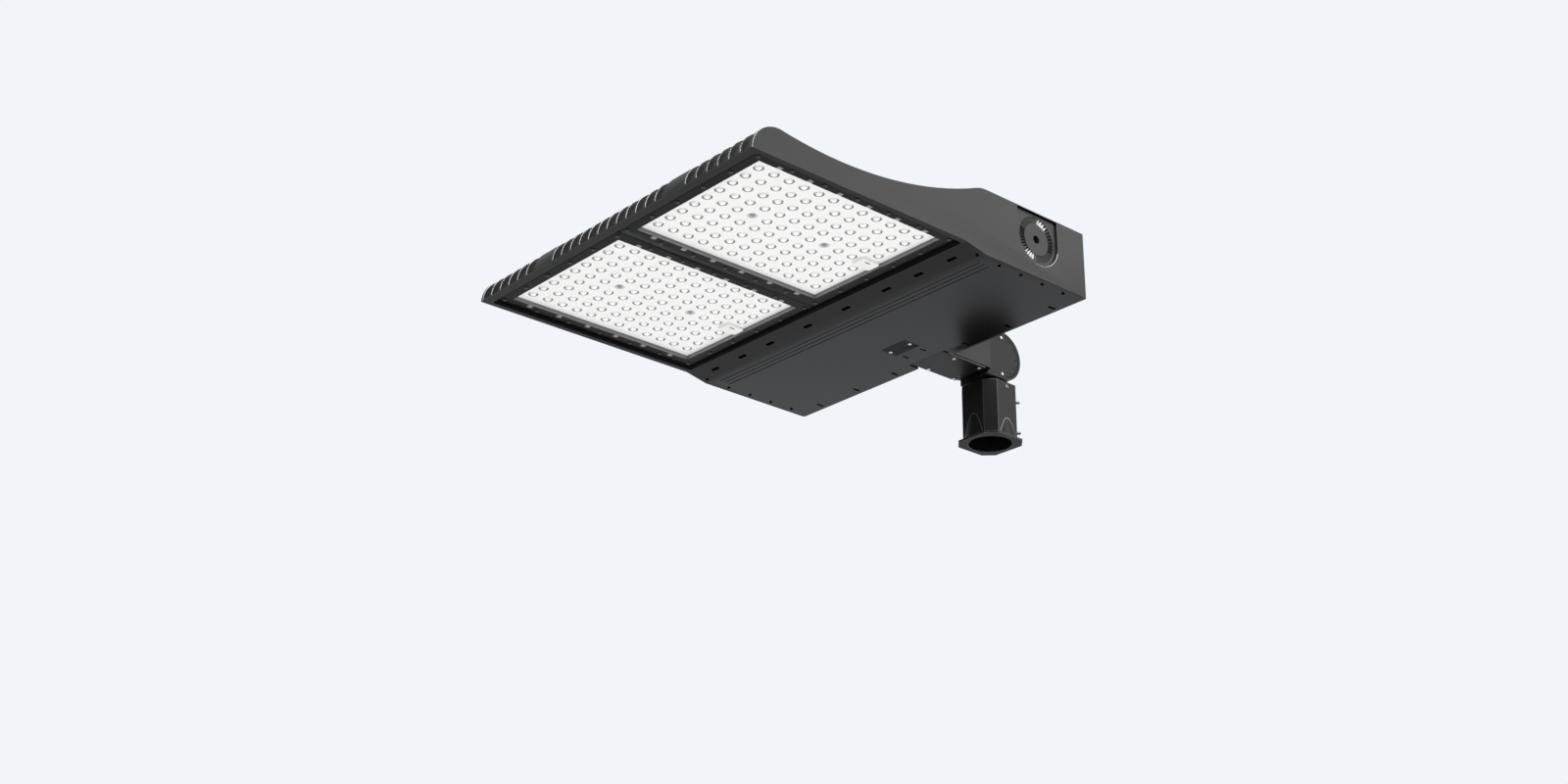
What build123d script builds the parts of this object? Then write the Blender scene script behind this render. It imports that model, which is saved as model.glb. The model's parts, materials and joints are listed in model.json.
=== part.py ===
# LED flood light on a slip fitter: a finned die-cast head with two lens modules, an arm with
# a tilt knuckle, and an eight-sided sleeve that carries it. All sizes are in millimetres.
# Frame: origin at the centre of the sleeve's mouth, +Z up the sleeve, -Y towards the nose,
# +X towards the head's near side. The knuckle's tilt axis is parallel to X.

from build123d import *

import os
from math import pi, sqrt

os.makedirs("parts", exist_ok=True)

# Head, outer form
head_width = 618.0
head_length = 640.0
head_height = 104.0
lip_rise = 8.2
nose_drop = 1.2
bay_flat_length = 211.0
flange_run = 40.0
nose_radius = 45.0
waist_height = 44.4
waist_from_rear = 487.0
shoulder_from_rear = 218.0
shoulder_radius = 50.0
corner_radius = 4.0

# Head, walls and fins
side_wall = 5.0
lip_width = 9.0
nose_lip = 14.5
recess_depth = 16.0
recess_corner = 5.0
base_thickness = 6.0
fin_thickness = 3.0
inner_fin_count = 11
outer_fin_count = 5
rib_width = 43.0
nose_skin = 7.0
gap_foot = 1.5
gap_run_out = 2.0
bay_wall = 5.0

# Tilt pivot
pivot_height = 142.0
pivot_to_rear = 117.5
pivot_above_underside = 35.0

# Driver bay cover
cover_thickness = 2.0
cover_rim = 3.0
cover_gap = 0.3
bead_width = 2.0
bead_depth = 0.8
bead_count = 3
bead_pitch = 9.35
bead_from_rear = 191.0
bead_length = 571.0
flange_slot_length = 18.0
flange_slot_width = 6.0
flange_slot_from_rear = 231.0
flange_slot_places = (42.0, 128.5, 194.5, 260.5)
rear_slot_length = 14.5
rear_slot_width = 5.0
rear_slot_from_rear = 14.7
rear_slot_first = 78.0
rear_slot_step = 87.5
rear_slot_count = 3
middle_slot_length = 13.0
middle_slot_width = 4.0
middle_slot_from_rear = 47.5
middle_slot_spread = 38.0
cover_screw_spread = 297.0
cover_screw_pitch = 44.75
cover_screw_first = 39.0
cover_screw_count = 5

# Access plate in the cover
access_length = 52.0
access_width = 33.0
access_from_rear = 78.0
access_thickness = 1.0
access_ledge = 5.0
access_sink = 0.2
access_corner = 1.0

# Side hubs
pocket_radius = 42.3
pocket_depth = 3.9
pocket_roof = 1.5
hub_from_rear = 101.5
hub_height = 62.5
hub_boss_depth = 16.0
hub_boss_radius = 36.0
hub_hole_radius = 6.4
hub_hole_depth = 11.0
ring_outer = 35.4
ring_inner = 25.0
tooth_count = 40
tooth_depth = 2.0

# Lens modules
module_spread = 150.0
module_width = 298.5
module_length = 361.5
bezel_sink = 4.8
bezel_face = 1.5
window_width = 260.2
window_length = 331.0
lens_pitch = 26.5
lens_columns = 9
lens_rows = 12
lens_radius = 7.8
lens_height = 4.0
lens_crown_radius = 4.9
plate_rim = 5.0
plate_fit = 0.3
plate_field_sink = 5.3
plate_bevel = 2.2
plate_field_thickness = 2.5
tab_count = 6
tab_pitch = 53.0
tab_width = 8.0
tab_reach = 6.0
tab_play = 0.4
tab_sink = 0.2
board_thickness = 1.6
board_margin = 8.0
dimple_depth = 1.0
bezel_screw_bite = 4.0
screw_end_gap = 1.0
gasket_width = 6.0
bezel_screw_columns = 6
bezel_screw_rows = 7
bezel_screw_pitch_x = 55.3
bezel_screw_pitch_y = 58.0
plate_screw_rows_apart = 5
connector_width = 25.0
connector_length = 33.0
connector_height = 5.0

# Screws, by head radius, head height and shank radius
small_head = 2.9
small_head_height = 1.7
small_shank = 1.5
small_shank_length = 8.0
plate_screw_head = 4.0
bolt_sides = 6
screw_sides = 8
screw_play = 0.05
post_width = 16.0
post_length = 12.0
post_height = 14.0

# Arm and its cover
arm_width = 70.0
arm_top = 36.0
arm_wall = 5.0
arm_root_wall = 14.0
arm_step = 30.0
arm_block_end = 38.0
arm_cover_thickness = 3.0
arm_seam = 1.2
arm_cover_inset = 1.0
arm_cover_end = 41.5
arm_screw_square = 56.0
arm_screw_first = 12.0
arm_screw_bite = 6.0
arm_post_radius = 4.5
notch_width = 78.0
notch_depth = 21.0
notch_height = 76.0
arm_gasket_thickness = 0.8
arm_gasket_height = 62.0
mount_bolt_square = 44.0
mount_bolt_radius = 4.0
mount_bolt_head = 7.0
mount_bolt_head_height = 5.0
arm_bolt_bite = 12.0
bolt_play = 0.3
wire_hole_radius = 9.0

# Knuckle
disc_radius = 41.5
disc_cover_thickness = 2.5
cheek_outer = 30.0
tongue_width = 30.0
tongue_radius = 30.0
cheek_play = 0.3
near_toe_reach = 38.5
far_toe_reach = 30.0
toe_rise = 12.4
pivot_bolt_radius = 7.0
pivot_play = 0.06
pivot_head_radius = 11.5
pivot_head_height = 4.6
washer_radius = 13.5
washer_thickness = 2.0
washer_play = 0.3
counterbore_depth = 7.5
counterbore_radius = 14.5
disc_screw_radius = 31.5
disc_screw_head = 3.0
disc_screw_sink = 1.6
dial_screw_bite = 6.0

# Slip fitter sleeve
sleeve_height = 94.5
sleeve_width = 77.0
sleeve_depth = 74.5
sleeve_chamfer = 16.0
mouth_overhang = 5.5
mouth_thickness = 3.4
skirt_height = 42.0
skirt_foot_radius = 42.5
skirt_top_radius = 36.8
bore_radius = 34.5
bore_depth = 85.0
wire_port_radius = 7.0
wire_port_forward = 18.0
set_screw_radius = 2.5
set_screw_reach = 48.6
set_screw_tip_gap = 0.3
set_screw_low = 17.6
set_screw_high = 69.8
set_screw_play = 0.05
set_screw_chamfer = 0.6
set_screw_socket = 1.4
set_screw_socket_depth = 2.5

# Parts inside the driver bay
driver_length = 228.0
driver_width = 92.0
driver_height = 52.0
driver_spread = 160.0
driver_from_rear = 118.0
driver_foot = 12.0
driver_foot_thickness = 3.0
driver_screw_spread = 23.0
driver_rib_pitch = 11.5
driver_rib_count = 7
driver_groove = 3.0
terminal_width = 46.0
terminal_length = 28.0
terminal_height = 20.0
terminal_ways = 5
bracket_sheet = 2.0
bracket_drop = 46.0
surge_length = 54.0
surge_width = 30.0
surge_height = 34.0
surge_from_rear = 165.0

# Levels and places that follow from the sizes above
underside = pivot_height - pivot_above_underside
rear = -pivot_to_rear
nose = rear - head_length
top = underside + head_height
lip = underside + lip_rise
crown = lip - nose_drop + nose_radius
waist = underside + waist_height
side = head_width / 2
flange_foot = rear - bay_flat_length
flange_end = flange_foot - flange_run
recess_rear = flange_end
recess_nose = nose + nose_lip
recess_roof = lip + recess_depth
fin_floor = recess_roof + base_thickness
bezel_level = lip + bezel_sink
bay_ceiling = top - bay_wall
bay_front = recess_rear + bay_wall
wall_top = rear - shoulder_from_rear - gap_run_out
flange_slope = lip_rise / flange_run
module_y = (recess_rear + recess_nose) / 2
hub_y = rear - hub_from_rear
hub_z = underside + hub_height
plate_level = bezel_level + bezel_face
field_level = plate_level + plate_field_sink
plate_back = field_level + plate_field_thickness
arm_front = rear - notch_depth + arm_gasket_thickness
arm_bottom = underside + arm_cover_thickness + arm_seam
cavity_front = arm_front + arm_root_wall
arm_ceiling = pivot_height + arm_top - arm_wall
root_middle = (underside + arm_ceiling) / 2
corners = [(x, y) for x in (-1, 1) for y in (-1, 1)]


# Repeated places

def bezel_screw_places(centre_x):
    """Screws round the bezel: the outer places of a grid of columns and rows."""
    columns = range(bezel_screw_columns)
    rows = range(bezel_screw_rows)
    middle_column = (bezel_screw_columns - 1) / 2
    middle_row = (bezel_screw_rows - 1) / 2
    return [
        (
            centre_x + (column - middle_column) * bezel_screw_pitch_x,
            module_y + (row - middle_row) * bezel_screw_pitch_y,
        )
        for column in columns
        for row in rows
        if column in (0, bezel_screw_columns - 1) or row in (0, bezel_screw_rows - 1)
    ]


def lens_place(centre_x, column, row):
    """Centre of the lens in this column and row of a module's grid."""
    return (
        centre_x + (column - (lens_columns - 1) / 2) * lens_pitch,
        module_y + (row - (lens_rows - 1) / 2) * lens_pitch,
    )


middle_lens_column = (lens_columns - 1) // 2
first_plate_screw = (lens_rows - plate_screw_rows_apart) // 2
plate_screw_cells = [
    (middle_lens_column, first_plate_screw),
    (middle_lens_column, first_plate_screw + plate_screw_rows_apart),
]
connector_cell = (middle_lens_column, lens_rows - 1)
lens_cells = [
    (column, row)
    for column in range(lens_columns)
    for row in range(lens_rows)
    if (column, row) not in plate_screw_cells + [connector_cell]
]


def tab_places(centre_x):
    """Snap tabs along both long sides of a module's window."""
    middle = (tab_count - 1) / 2
    return [
        (
            centre_x + sign * (window_width + tab_reach) / 2,
            module_y + (i - middle) * tab_pitch,
        )
        for sign in (-1, 1)
        for i in range(tab_count)
    ]


def gap_groups():
    """Centres and width of the gaps between the inner fins, then between the outer ones."""
    rib_inner = module_spread - rib_width / 2
    rib_outer = module_spread + rib_width / 2
    wall_middle = side - side_wall + fin_thickness / 2
    inner_gaps = inner_fin_count + 1
    outer_gaps = outer_fin_count + 1
    inner_pitch = 2 * rib_inner / inner_gaps
    outer_pitch = (wall_middle - rib_outer) / outer_gaps
    inner = [-rib_inner + (i + 0.5) * inner_pitch for i in range(inner_gaps)]
    outer = [rib_outer + (i + 0.5) * outer_pitch for i in range(outer_gaps)]
    outer += [-x for x in outer]
    return [(inner, inner_pitch - fin_thickness), (outer, outer_pitch - fin_thickness)]


def cover_seats():
    """Planes on the cover's outer face, facing outwards, one for each cover screw."""
    seats = []
    for sign in (-1, 1):
        for i in range(cover_screw_count):
            y = rear - cover_screw_first - i * cover_screw_pitch
            rise = max(0, flange_foot - y) * flange_slope
            slope = flange_slope if y < flange_foot else 0
            origin = (sign * cover_screw_spread, y, underside + rise)
            seats.append(Plane(origin, x_dir=(1, 0, 0), z_dir=(0, -slope, -1)))
    return seats


access_screw_places = [
    (sign * (access_length / 2 - access_ledge), rear - access_from_rear) for sign in (-1, 1)
]
arm_screw_places = [
    (sign * arm_screw_square / 2, rear + arm_screw_first + row * arm_screw_square)
    for sign in (-1, 1)
    for row in (0, 1)
]
mount_bolt_places = [
    (x * mount_bolt_square / 2, root_middle + z * mount_bolt_square / 2) for x, z in corners
]
driver_screw_places = [
    (
        sign * driver_spread + end * (driver_length + driver_foot) / 2,
        rear - driver_from_rear + row * driver_screw_spread,
    )
    for sign in (-1, 1)
    for end, row in corners
]

dial_screw_places = [(0, pivot_height + row * disc_screw_radius) for row in (-1, 1)]
set_screw_planes = [
    Plane((0, 0, z), z_dir=(x, 1, 0)) for x in (-1, 1) for z in (set_screw_low, set_screw_high)
]


def hub_plane(sign):
    """Plane on the floor of a side pocket, centred on the hub and facing outwards."""
    origin = (sign * (side - pocket_depth), hub_y, hub_z)
    return Plane(origin, x_dir=(0, sign, 0), z_dir=(sign, 0, 0))


def make_screw(head_radius, head_height, shank_radius, shank_length, sides=screw_sides):
    """A screw whose head sits on its own plane and whose shank goes down from it."""
    with BuildPart() as screw:
        with BuildSketch():
            RegularPolygon(head_radius, sides)
        extrude(amount=head_height)
        with BuildSketch():
            RegularPolygon(shank_radius, screw_sides)
        extrude(amount=-shank_length)
    return screw.part


small_screw = make_screw(small_head, small_head_height, small_shank, small_shank_length)


# Housing: the side profile carried across the whole width, then hollowed from below for the
# driver bay and the lens modules, and cut from above between the fins.

nose_centre_y = nose + nose_radius
nose_centre_z = crown - nose_radius
turn_radius = nose_radius - nose_skin
foot_z = lip + gap_foot
foot_y = nose_centre_y - sqrt(turn_radius**2 - (foot_z - nose_centre_z) ** 2)
turn_y = nose_centre_y - sqrt(turn_radius**2 - (fin_floor - nose_centre_z) ** 2)
outside = nose - nose_radius
above = top + nose_radius

with BuildPart() as tooth_gap:
    for radius in (ring_inner, ring_outer):
        half_width = pi * radius / tooth_count
        with BuildSketch(Plane.YZ.offset(radius)):
            with BuildLine():
                Polyline((-half_width, 0), (half_width, 0), (0, -tooth_depth), close=True)
            make_face()
    loft()

with BuildPart() as housing:
    shoulder = (rear - shoulder_from_rear, top)
    crown_point = (nose_centre_y, crown)
    with BuildSketch(Plane.YZ) as profile:
        with BuildLine():
            Polyline(
                (nose, lip),
                (flange_end, lip),
                (flange_foot, underside),
                (rear, underside),
                (rear, top),
                shoulder,
            )
            ThreePointArc(shoulder, (rear - waist_from_rear, waist), crown_point)
            RadiusArc(crown_point, (nose, lip), -nose_radius)
        make_face()
        shoulder_corner = profile.vertices().sort_by_distance((*shoulder, 0))[0]
        fillet(shoulder_corner, shoulder_radius)
    extrude(amount=side, both=True)
    fillet(housing.edges().filter_by(Axis.Z).group_by(Axis.Y)[-1], corner_radius)

    # driver bay
    with BuildSketch(Plane.YZ):
        with BuildLine():
            Polyline(
                (rear - bay_wall, underside),
                (rear - bay_wall, bay_ceiling),
                (wall_top + bay_wall, bay_ceiling),
                (bay_front, fin_floor),
                (bay_front, underside),
                close=True,
            )
        make_face()
    extrude(amount=side - side_wall, both=True, mode=Mode.SUBTRACT)

    # wall round the arm's notch
    with BuildSketch(Plane.XY.offset(underside + notch_height + bay_wall)):
        with Locations((0, rear - bay_wall)):
            Rectangle(notch_width + 2 * bay_wall, notch_depth, align=(Align.CENTER, Align.MAX))
    extrude(amount=-notch_height - bay_wall)

    # posts for the cover screws and bosses behind the side hubs
    with BuildSketch(Plane.XY.offset(underside + post_height)):
        with Locations([(seat.origin.X, seat.origin.Y) for seat in cover_seats()]):
            Rectangle(post_width, post_length)
    extrude(amount=-post_height)
    for sign in (-1, 1):
        with BuildSketch(Plane.YZ.offset(sign * (side - side_wall))):
            with Locations((hub_y, hub_z)):
                Circle(hub_boss_radius)
        extrude(amount=-sign * (hub_boss_depth - side_wall))

    # seat of the driver cover
    with BuildSketch(Plane.YZ):
        with BuildLine():
            Polyline(
                (rear - cover_rim, underside - cover_thickness),
                (rear - cover_rim, underside + cover_thickness),
                (flange_foot, underside + cover_thickness),
                (flange_end, lip + cover_thickness),
                (flange_end, underside - cover_thickness),
                close=True,
            )
        make_face()
    extrude(amount=side - cover_rim, both=True, mode=Mode.SUBTRACT)
    with BuildSketch(*cover_seats()):
        RegularPolygon(small_shank + screw_play, screw_sides)
    extrude(amount=-small_shank_length, mode=Mode.SUBTRACT)

    # notch for the arm
    with BuildSketch(Plane.XY.offset(underside)):
        with Locations((0, rear)):
            Rectangle(notch_width, 2 * notch_depth)
    extrude(amount=notch_height, mode=Mode.SUBTRACT)

    # recess for the lens modules
    with BuildSketch(Plane.XY.offset(underside)):
        with Locations((0, module_y)):
            RectangleRounded(2 * (side - lip_width), recess_rear - recess_nose, recess_corner)
    extrude(amount=recess_roof - underside, mode=Mode.SUBTRACT)

    # gaps between the fins
    for gap_centres, gap_width in gap_groups():
        with BuildSketch(*[Plane.YZ.offset(x) for x in gap_centres]):
            with BuildLine():
                RadiusArc((foot_y, foot_z), (turn_y, fin_floor), turn_radius)
                Polyline(
                    (turn_y, fin_floor),
                    (flange_end, fin_floor),
                    (wall_top, top),
                    (wall_top, above),
                    (outside, above),
                    (outside, foot_z),
                    (foot_y, foot_z),
                )
            make_face()
        extrude(amount=gap_width / 2, both=True, mode=Mode.SUBTRACT)

    # side hubs: pocket, toothed ring and threaded hole
    for sign in (-1, 1):
        with BuildSketch(hub_plane(sign)):
            Circle(pocket_radius)
            Rectangle(
                2 * pocket_radius,
                pocket_radius,
                align=(Align.CENTER, Align.MIN),
            )
            with Locations((0, top - pocket_roof - hub_z)):
                Rectangle(
                    2 * pocket_radius,
                    pocket_radius,
                    align=(Align.CENTER, Align.MIN),
                    mode=Mode.SUBTRACT,
                )
        extrude(amount=pocket_depth, mode=Mode.SUBTRACT)
        with BuildSketch(hub_plane(sign)):
            Circle(hub_hole_radius)
        extrude(amount=-hub_hole_depth, mode=Mode.SUBTRACT)
        with Locations(hub_plane(sign)):
            with PolarLocations(0, tooth_count):
                add(tooth_gap.part, mode=Mode.SUBTRACT)

    # holes for the arm bolts, the wires and the module screws
    with BuildSketch(Plane.XZ.offset(-rear + notch_depth)):
        with Locations(mount_bolt_places):
            Circle(mount_bolt_radius + bolt_play)
        with Locations((0, root_middle)):
            Circle(wire_hole_radius)
    extrude(amount=bay_wall, mode=Mode.SUBTRACT)
    with BuildSketch(Plane.XY.offset(recess_roof)):
        for sign in (-1, 1):
            with Locations(bezel_screw_places(sign * module_spread)):
                RegularPolygon(small_shank + screw_play, screw_sides)
    extrude(amount=bezel_screw_bite, mode=Mode.SUBTRACT)

housing.part.label = "housing"
export_step(housing.part, "parts/housing.step")


# Driver bay cover: one sheet, bent up along its front flange, with slots and three beads

with BuildPart() as driver_cover:
    cover_rear = rear - cover_rim - cover_gap
    cover_side = side - cover_rim - cover_gap
    with BuildSketch(Plane.YZ):
        with BuildLine():
            Polyline(
                (cover_rear, underside),
                (flange_foot, underside),
                (flange_end, lip),
                (flange_end, lip + cover_thickness),
                (flange_foot, underside + cover_thickness),
                (cover_rear, underside + cover_thickness),
                close=True,
            )
        make_face()
    extrude(amount=cover_side, both=True)
    with BuildSketch(Plane.XY.offset(underside)):
        with Locations((0, rear)):
            Rectangle(notch_width + cover_gap, 2 * notch_depth + cover_gap)
        with Locations((0, rear - access_from_rear)):
            Rectangle(access_length - 2 * access_ledge, access_width - 2 * access_ledge)
        rear_slot_y = rear - rear_slot_from_rear
        for sign in (-1, 1):
            rear_slots = [
                (sign * (rear_slot_first + i * rear_slot_step), rear_slot_y)
                for i in range(rear_slot_count)
            ]
            with Locations(rear_slots):
                SlotOverall(rear_slot_length, rear_slot_width, rotation=90)
        with Locations((0, rear - middle_slot_from_rear)):
            with GridLocations(middle_slot_spread, 1, 2, 1):
                SlotOverall(middle_slot_length, middle_slot_width, rotation=90)
    extrude(amount=cover_thickness, mode=Mode.SUBTRACT)
    with BuildSketch(Plane.XY.offset(underside)):
        flange_slot_y = rear - flange_slot_from_rear
        for sign in (-1, 1):
            with Locations([(sign * x, flange_slot_y) for x in flange_slot_places]):
                SlotOverall(flange_slot_length, flange_slot_width)
    extrude(amount=lip_rise + cover_thickness, mode=Mode.SUBTRACT)
    with BuildSketch(Plane.XY.offset(underside)):
        with Locations((0, rear - bead_from_rear)):
            with GridLocations(1, bead_pitch, 1, bead_count):
                Rectangle(bead_length, bead_width)
    extrude(amount=bead_depth, mode=Mode.SUBTRACT)
    with BuildSketch(Plane.XY.offset(underside)):
        with Locations((0, rear - access_from_rear)):
            Rectangle(access_length, access_width)
    extrude(amount=access_thickness + access_sink, mode=Mode.SUBTRACT)
    with BuildSketch(Plane.XY.offset(underside)):
        with Locations(access_screw_places):
            RegularPolygon(small_shank + screw_play, screw_sides)
    extrude(amount=cover_thickness, mode=Mode.SUBTRACT)
    with BuildSketch(*cover_seats()):
        RegularPolygon(small_shank + screw_play, screw_sides)
    extrude(amount=-2 * cover_thickness, mode=Mode.SUBTRACT)

with BuildPart() as driver_cover_screws:
    with Locations(cover_seats()):
        add(small_screw)

with BuildPart() as access_plate:
    with BuildSketch(Plane.XY.offset(underside + access_sink)):
        with Locations((0, rear - access_from_rear)):
            RectangleRounded(
                access_length - 2 * cover_gap,
                access_width - 2 * cover_gap,
                access_corner,
            )
        with Locations(access_screw_places):
            RegularPolygon(small_shank + screw_play, screw_sides, mode=Mode.SUBTRACT)
    extrude(amount=access_thickness)

with BuildPart() as access_plate_screws:
    for x, y in access_screw_places:
        with Locations(Plane((x, y, underside + access_sink), z_dir=(0, 0, -1))):
            add(small_screw)

driver_cover.part.label = "driver_cover"
export_step(driver_cover.part, "parts/driver_cover.step")
driver_cover_screws.part.label = "driver_cover_screws"
export_step(driver_cover_screws.part, "parts/driver_cover_screws.step")
access_plate.part.label = "access_plate"
export_step(access_plate.part, "parts/access_plate.step")
access_plate_screws.part.label = "access_plate_screws"
export_step(access_plate_screws.part, "parts/access_plate_screws.step")


# Lens modules: bezel, lens plate with its lenses and tabs, gasket, LED board and screws

plate_width = window_width + 2 * plate_rim
plate_length = window_length + 2 * plate_rim
bezel_screw_length = recess_roof - bezel_level + bezel_screw_bite - screw_end_gap
bezel_screw = make_screw(small_head, small_head_height, small_shank, bezel_screw_length)
plate_screw_seat = field_level + dimple_depth
plate_screw = make_screw(
    plate_screw_head, small_head_height, small_shank, recess_roof - plate_screw_seat
)

with BuildPart() as lens:
    with BuildSketch():
        RegularPolygon(lens_radius, screw_sides)
    with BuildSketch(Plane.XY.offset(-lens_height)):
        RegularPolygon(lens_crown_radius, screw_sides)
    loft(ruled=True)

for name, sign in (("near", 1), ("far", -1)):
    centre_x = sign * module_spread
    centre = (centre_x, module_y)
    dimples = [lens_place(centre_x, *cell) for cell in plate_screw_cells]
    connector_y = module_y + window_length / 2 - plate_bevel - cover_gap - connector_length / 2

    with BuildPart() as bezel:
        with BuildSketch(Plane.XY.offset(bezel_level)):
            with Locations(centre):
                RectangleRounded(module_width, module_length, recess_corner)
        extrude(amount=recess_roof - bezel_level)
        with BuildSketch(Plane.XY.offset(plate_level)):
            with Locations(centre):
                Rectangle(plate_width + 2 * plate_fit, plate_length + 2 * plate_fit)
        extrude(amount=recess_roof - plate_level, mode=Mode.SUBTRACT)
        with BuildSketch(Plane.XY.offset(bezel_level)):
            with Locations(centre):
                Rectangle(window_width, window_length)
            with Locations(tab_places(centre_x)):
                Rectangle(tab_reach + 2 * tab_play, tab_width + 2 * tab_play)
            with Locations(bezel_screw_places(centre_x)):
                RegularPolygon(small_shank + screw_play, screw_sides)
        extrude(amount=recess_roof - bezel_level, mode=Mode.SUBTRACT)

    with BuildPart() as lens_plate:
        with BuildSketch(Plane.XY.offset(plate_level)):
            with Locations(centre):
                Rectangle(plate_width, plate_length)
        extrude(amount=plate_back - plate_level)
        with BuildSketch(Plane.XY.offset(bezel_level + tab_sink)):
            with Locations(tab_places(centre_x)):
                Rectangle(tab_reach, tab_width)
        extrude(amount=plate_back - bezel_level - tab_sink)
        bevel_level = field_level - plate_bevel
        with BuildSketch(Plane.XY.offset(plate_level)):
            with Locations(centre):
                Rectangle(window_width, window_length)
        extrude(amount=bevel_level - plate_level, mode=Mode.SUBTRACT)
        with BuildSketch(Plane.XY.offset(bevel_level)):
            with Locations(centre):
                Rectangle(window_width, window_length)
        extrude(amount=plate_bevel, taper=45, mode=Mode.SUBTRACT)
        with Locations([(*lens_place(centre_x, *cell), field_level) for cell in lens_cells]):
            add(lens.part)
        with BuildSketch(Plane.XY.offset(field_level)):
            with Locations(dimples):
                Circle(lens_radius)
        extrude(amount=dimple_depth, mode=Mode.SUBTRACT)
        with BuildSketch(Plane.XY.offset(field_level)):
            with Locations(dimples):
                RegularPolygon(small_shank + screw_play, screw_sides)
        extrude(amount=plate_field_thickness, mode=Mode.SUBTRACT)

    with BuildPart() as lens_gasket:
        with BuildSketch(Plane.XY.offset(plate_back)):
            with Locations(centre):
                Rectangle(plate_width, plate_length)
                inner_width = plate_width - 2 * gasket_width
                inner_length = plate_length - 2 * gasket_width
                Rectangle(inner_width, inner_length, mode=Mode.SUBTRACT)
        extrude(amount=recess_roof - plate_back)

    with BuildPart() as led_board:
        with BuildSketch(Plane.XY.offset(recess_roof - board_thickness)):
            with Locations(centre):
                board_width = plate_width - 2 * board_margin
                board_length = plate_length - 2 * board_margin
                Rectangle(board_width, board_length)
            with Locations(dimples):
                RegularPolygon(small_shank + screw_play, screw_sides, mode=Mode.SUBTRACT)
        extrude(amount=board_thickness)

    with BuildPart() as bezel_screws:
        for x, y in bezel_screw_places(centre_x):
            with Locations(Plane((x, y, bezel_level), z_dir=(0, 0, -1))):
                add(bezel_screw)

    with BuildPart() as plate_screws:
        for x, y in dimples:
            with Locations(Plane((x, y, plate_screw_seat), z_dir=(0, 0, -1))):
                add(plate_screw)

    with BuildPart() as connector:
        with BuildSketch(Plane.XY.offset(field_level - connector_height)):
            with Locations((centre_x, connector_y)):
                Rectangle(connector_width, connector_length)
        extrude(amount=connector_height)
        chamfer(connector.faces().sort_by(Axis.Z)[0].edges(), connector_height / 4)

    bezel.part.label = f"bezel_{name}"
    export_step(bezel.part, f"parts/bezel_{name}.step")
    lens_plate.part.label = f"lens_plate_{name}"
    export_step(lens_plate.part, f"parts/lens_plate_{name}.step")
    lens_gasket.part.label = f"lens_gasket_{name}"
    export_step(lens_gasket.part, f"parts/lens_gasket_{name}.step")
    led_board.part.label = f"led_board_{name}"
    export_step(led_board.part, f"parts/led_board_{name}.step")
    bezel_screws.part.label = f"bezel_screws_{name}"
    export_step(bezel_screws.part, f"parts/bezel_screws_{name}.step")
    plate_screws.part.label = f"plate_screws_{name}"
    export_step(plate_screws.part, f"parts/plate_screws_{name}.step")
    connector.part.label = f"board_connector_{name}"
    export_step(connector.part, f"parts/board_connector_{name}.step")


# Inside the driver bay: two drivers, a surge protector and a terminal block on its bracket

driver_y = rear - driver_from_rear

for name, sign in (("near", 1), ("far", -1)):
    driver_x = sign * driver_spread
    with BuildPart() as led_driver:
        with BuildSketch(Plane.YZ.offset(driver_x)):
            with Locations((driver_y, bay_ceiling - driver_height / 2)):
                RectangleRounded(driver_width, driver_height, corner_radius)
            with Locations((driver_y, bay_ceiling - driver_height)):
                with GridLocations(driver_rib_pitch, 1, driver_rib_count, 1):
                    Rectangle(driver_rib_pitch / 2, 2 * driver_groove, mode=Mode.SUBTRACT)
        extrude(amount=driver_length / 2, both=True)
        with BuildSketch(Plane.XY.offset(bay_ceiling)):
            with Locations((driver_x, driver_y)):
                Rectangle(driver_length + 2 * driver_foot, driver_width - 2 * corner_radius)
        extrude(amount=-driver_foot_thickness)
        with BuildSketch(Plane.XY.offset(bay_ceiling)):
            with Locations(driver_screw_places):
                RegularPolygon(small_shank + screw_play, screw_sides)
        extrude(amount=-driver_foot_thickness, mode=Mode.SUBTRACT)
    led_driver.part.label = f"led_driver_{name}"
    export_step(led_driver.part, f"parts/led_driver_{name}.step")

driver_screw = make_screw(small_head, small_head_height, small_shank, driver_foot_thickness)
with BuildPart() as driver_screws:
    for x, y in driver_screw_places:
        seat = Plane((x, y, bay_ceiling - driver_foot_thickness), z_dir=(0, 0, -1))
        with Locations(seat):
            add(driver_screw)

with BuildPart() as surge_protector:
    with BuildSketch(Plane.XY.offset(bay_ceiling)):
        with Locations((0, rear - surge_from_rear)):
            RectangleRounded(surge_length, surge_width, corner_radius)
    extrude(amount=-surge_height)

terminal_y = rear - access_from_rear
platform = bay_ceiling - bracket_drop
with BuildPart() as terminal_bracket:
    leg = terminal_width / 2 + bracket_sheet
    with BuildSketch(Plane.XZ.offset(-terminal_y)):
        with BuildLine():
            bend = Polyline(
                (-leg - driver_foot / 2, bay_ceiling - bracket_sheet / 2),
                (-leg, bay_ceiling - bracket_sheet / 2),
                (-leg, platform),
                (leg, platform),
                (leg, bay_ceiling - bracket_sheet / 2),
                (leg + driver_foot / 2, bay_ceiling - bracket_sheet / 2),
            )
            offset(bend, amount=bracket_sheet / 2, side=Side.BOTH)
        make_face()
    extrude(amount=terminal_length / 2, both=True)

with BuildPart() as terminal_block:
    block_top = platform - bracket_sheet / 2
    with BuildSketch(Plane.XY.offset(block_top)):
        with Locations((0, terminal_y)):
            Rectangle(terminal_width, terminal_length)
    extrude(amount=-terminal_height)
    way = terminal_width / terminal_ways
    with BuildSketch(Plane.XY.offset(block_top - terminal_height)):
        with Locations((0, terminal_y)):
            with GridLocations(way, terminal_length / 2, terminal_ways, 2):
                Rectangle(way / 2, way / 2)
    extrude(amount=terminal_height / 4, mode=Mode.SUBTRACT)

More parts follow.
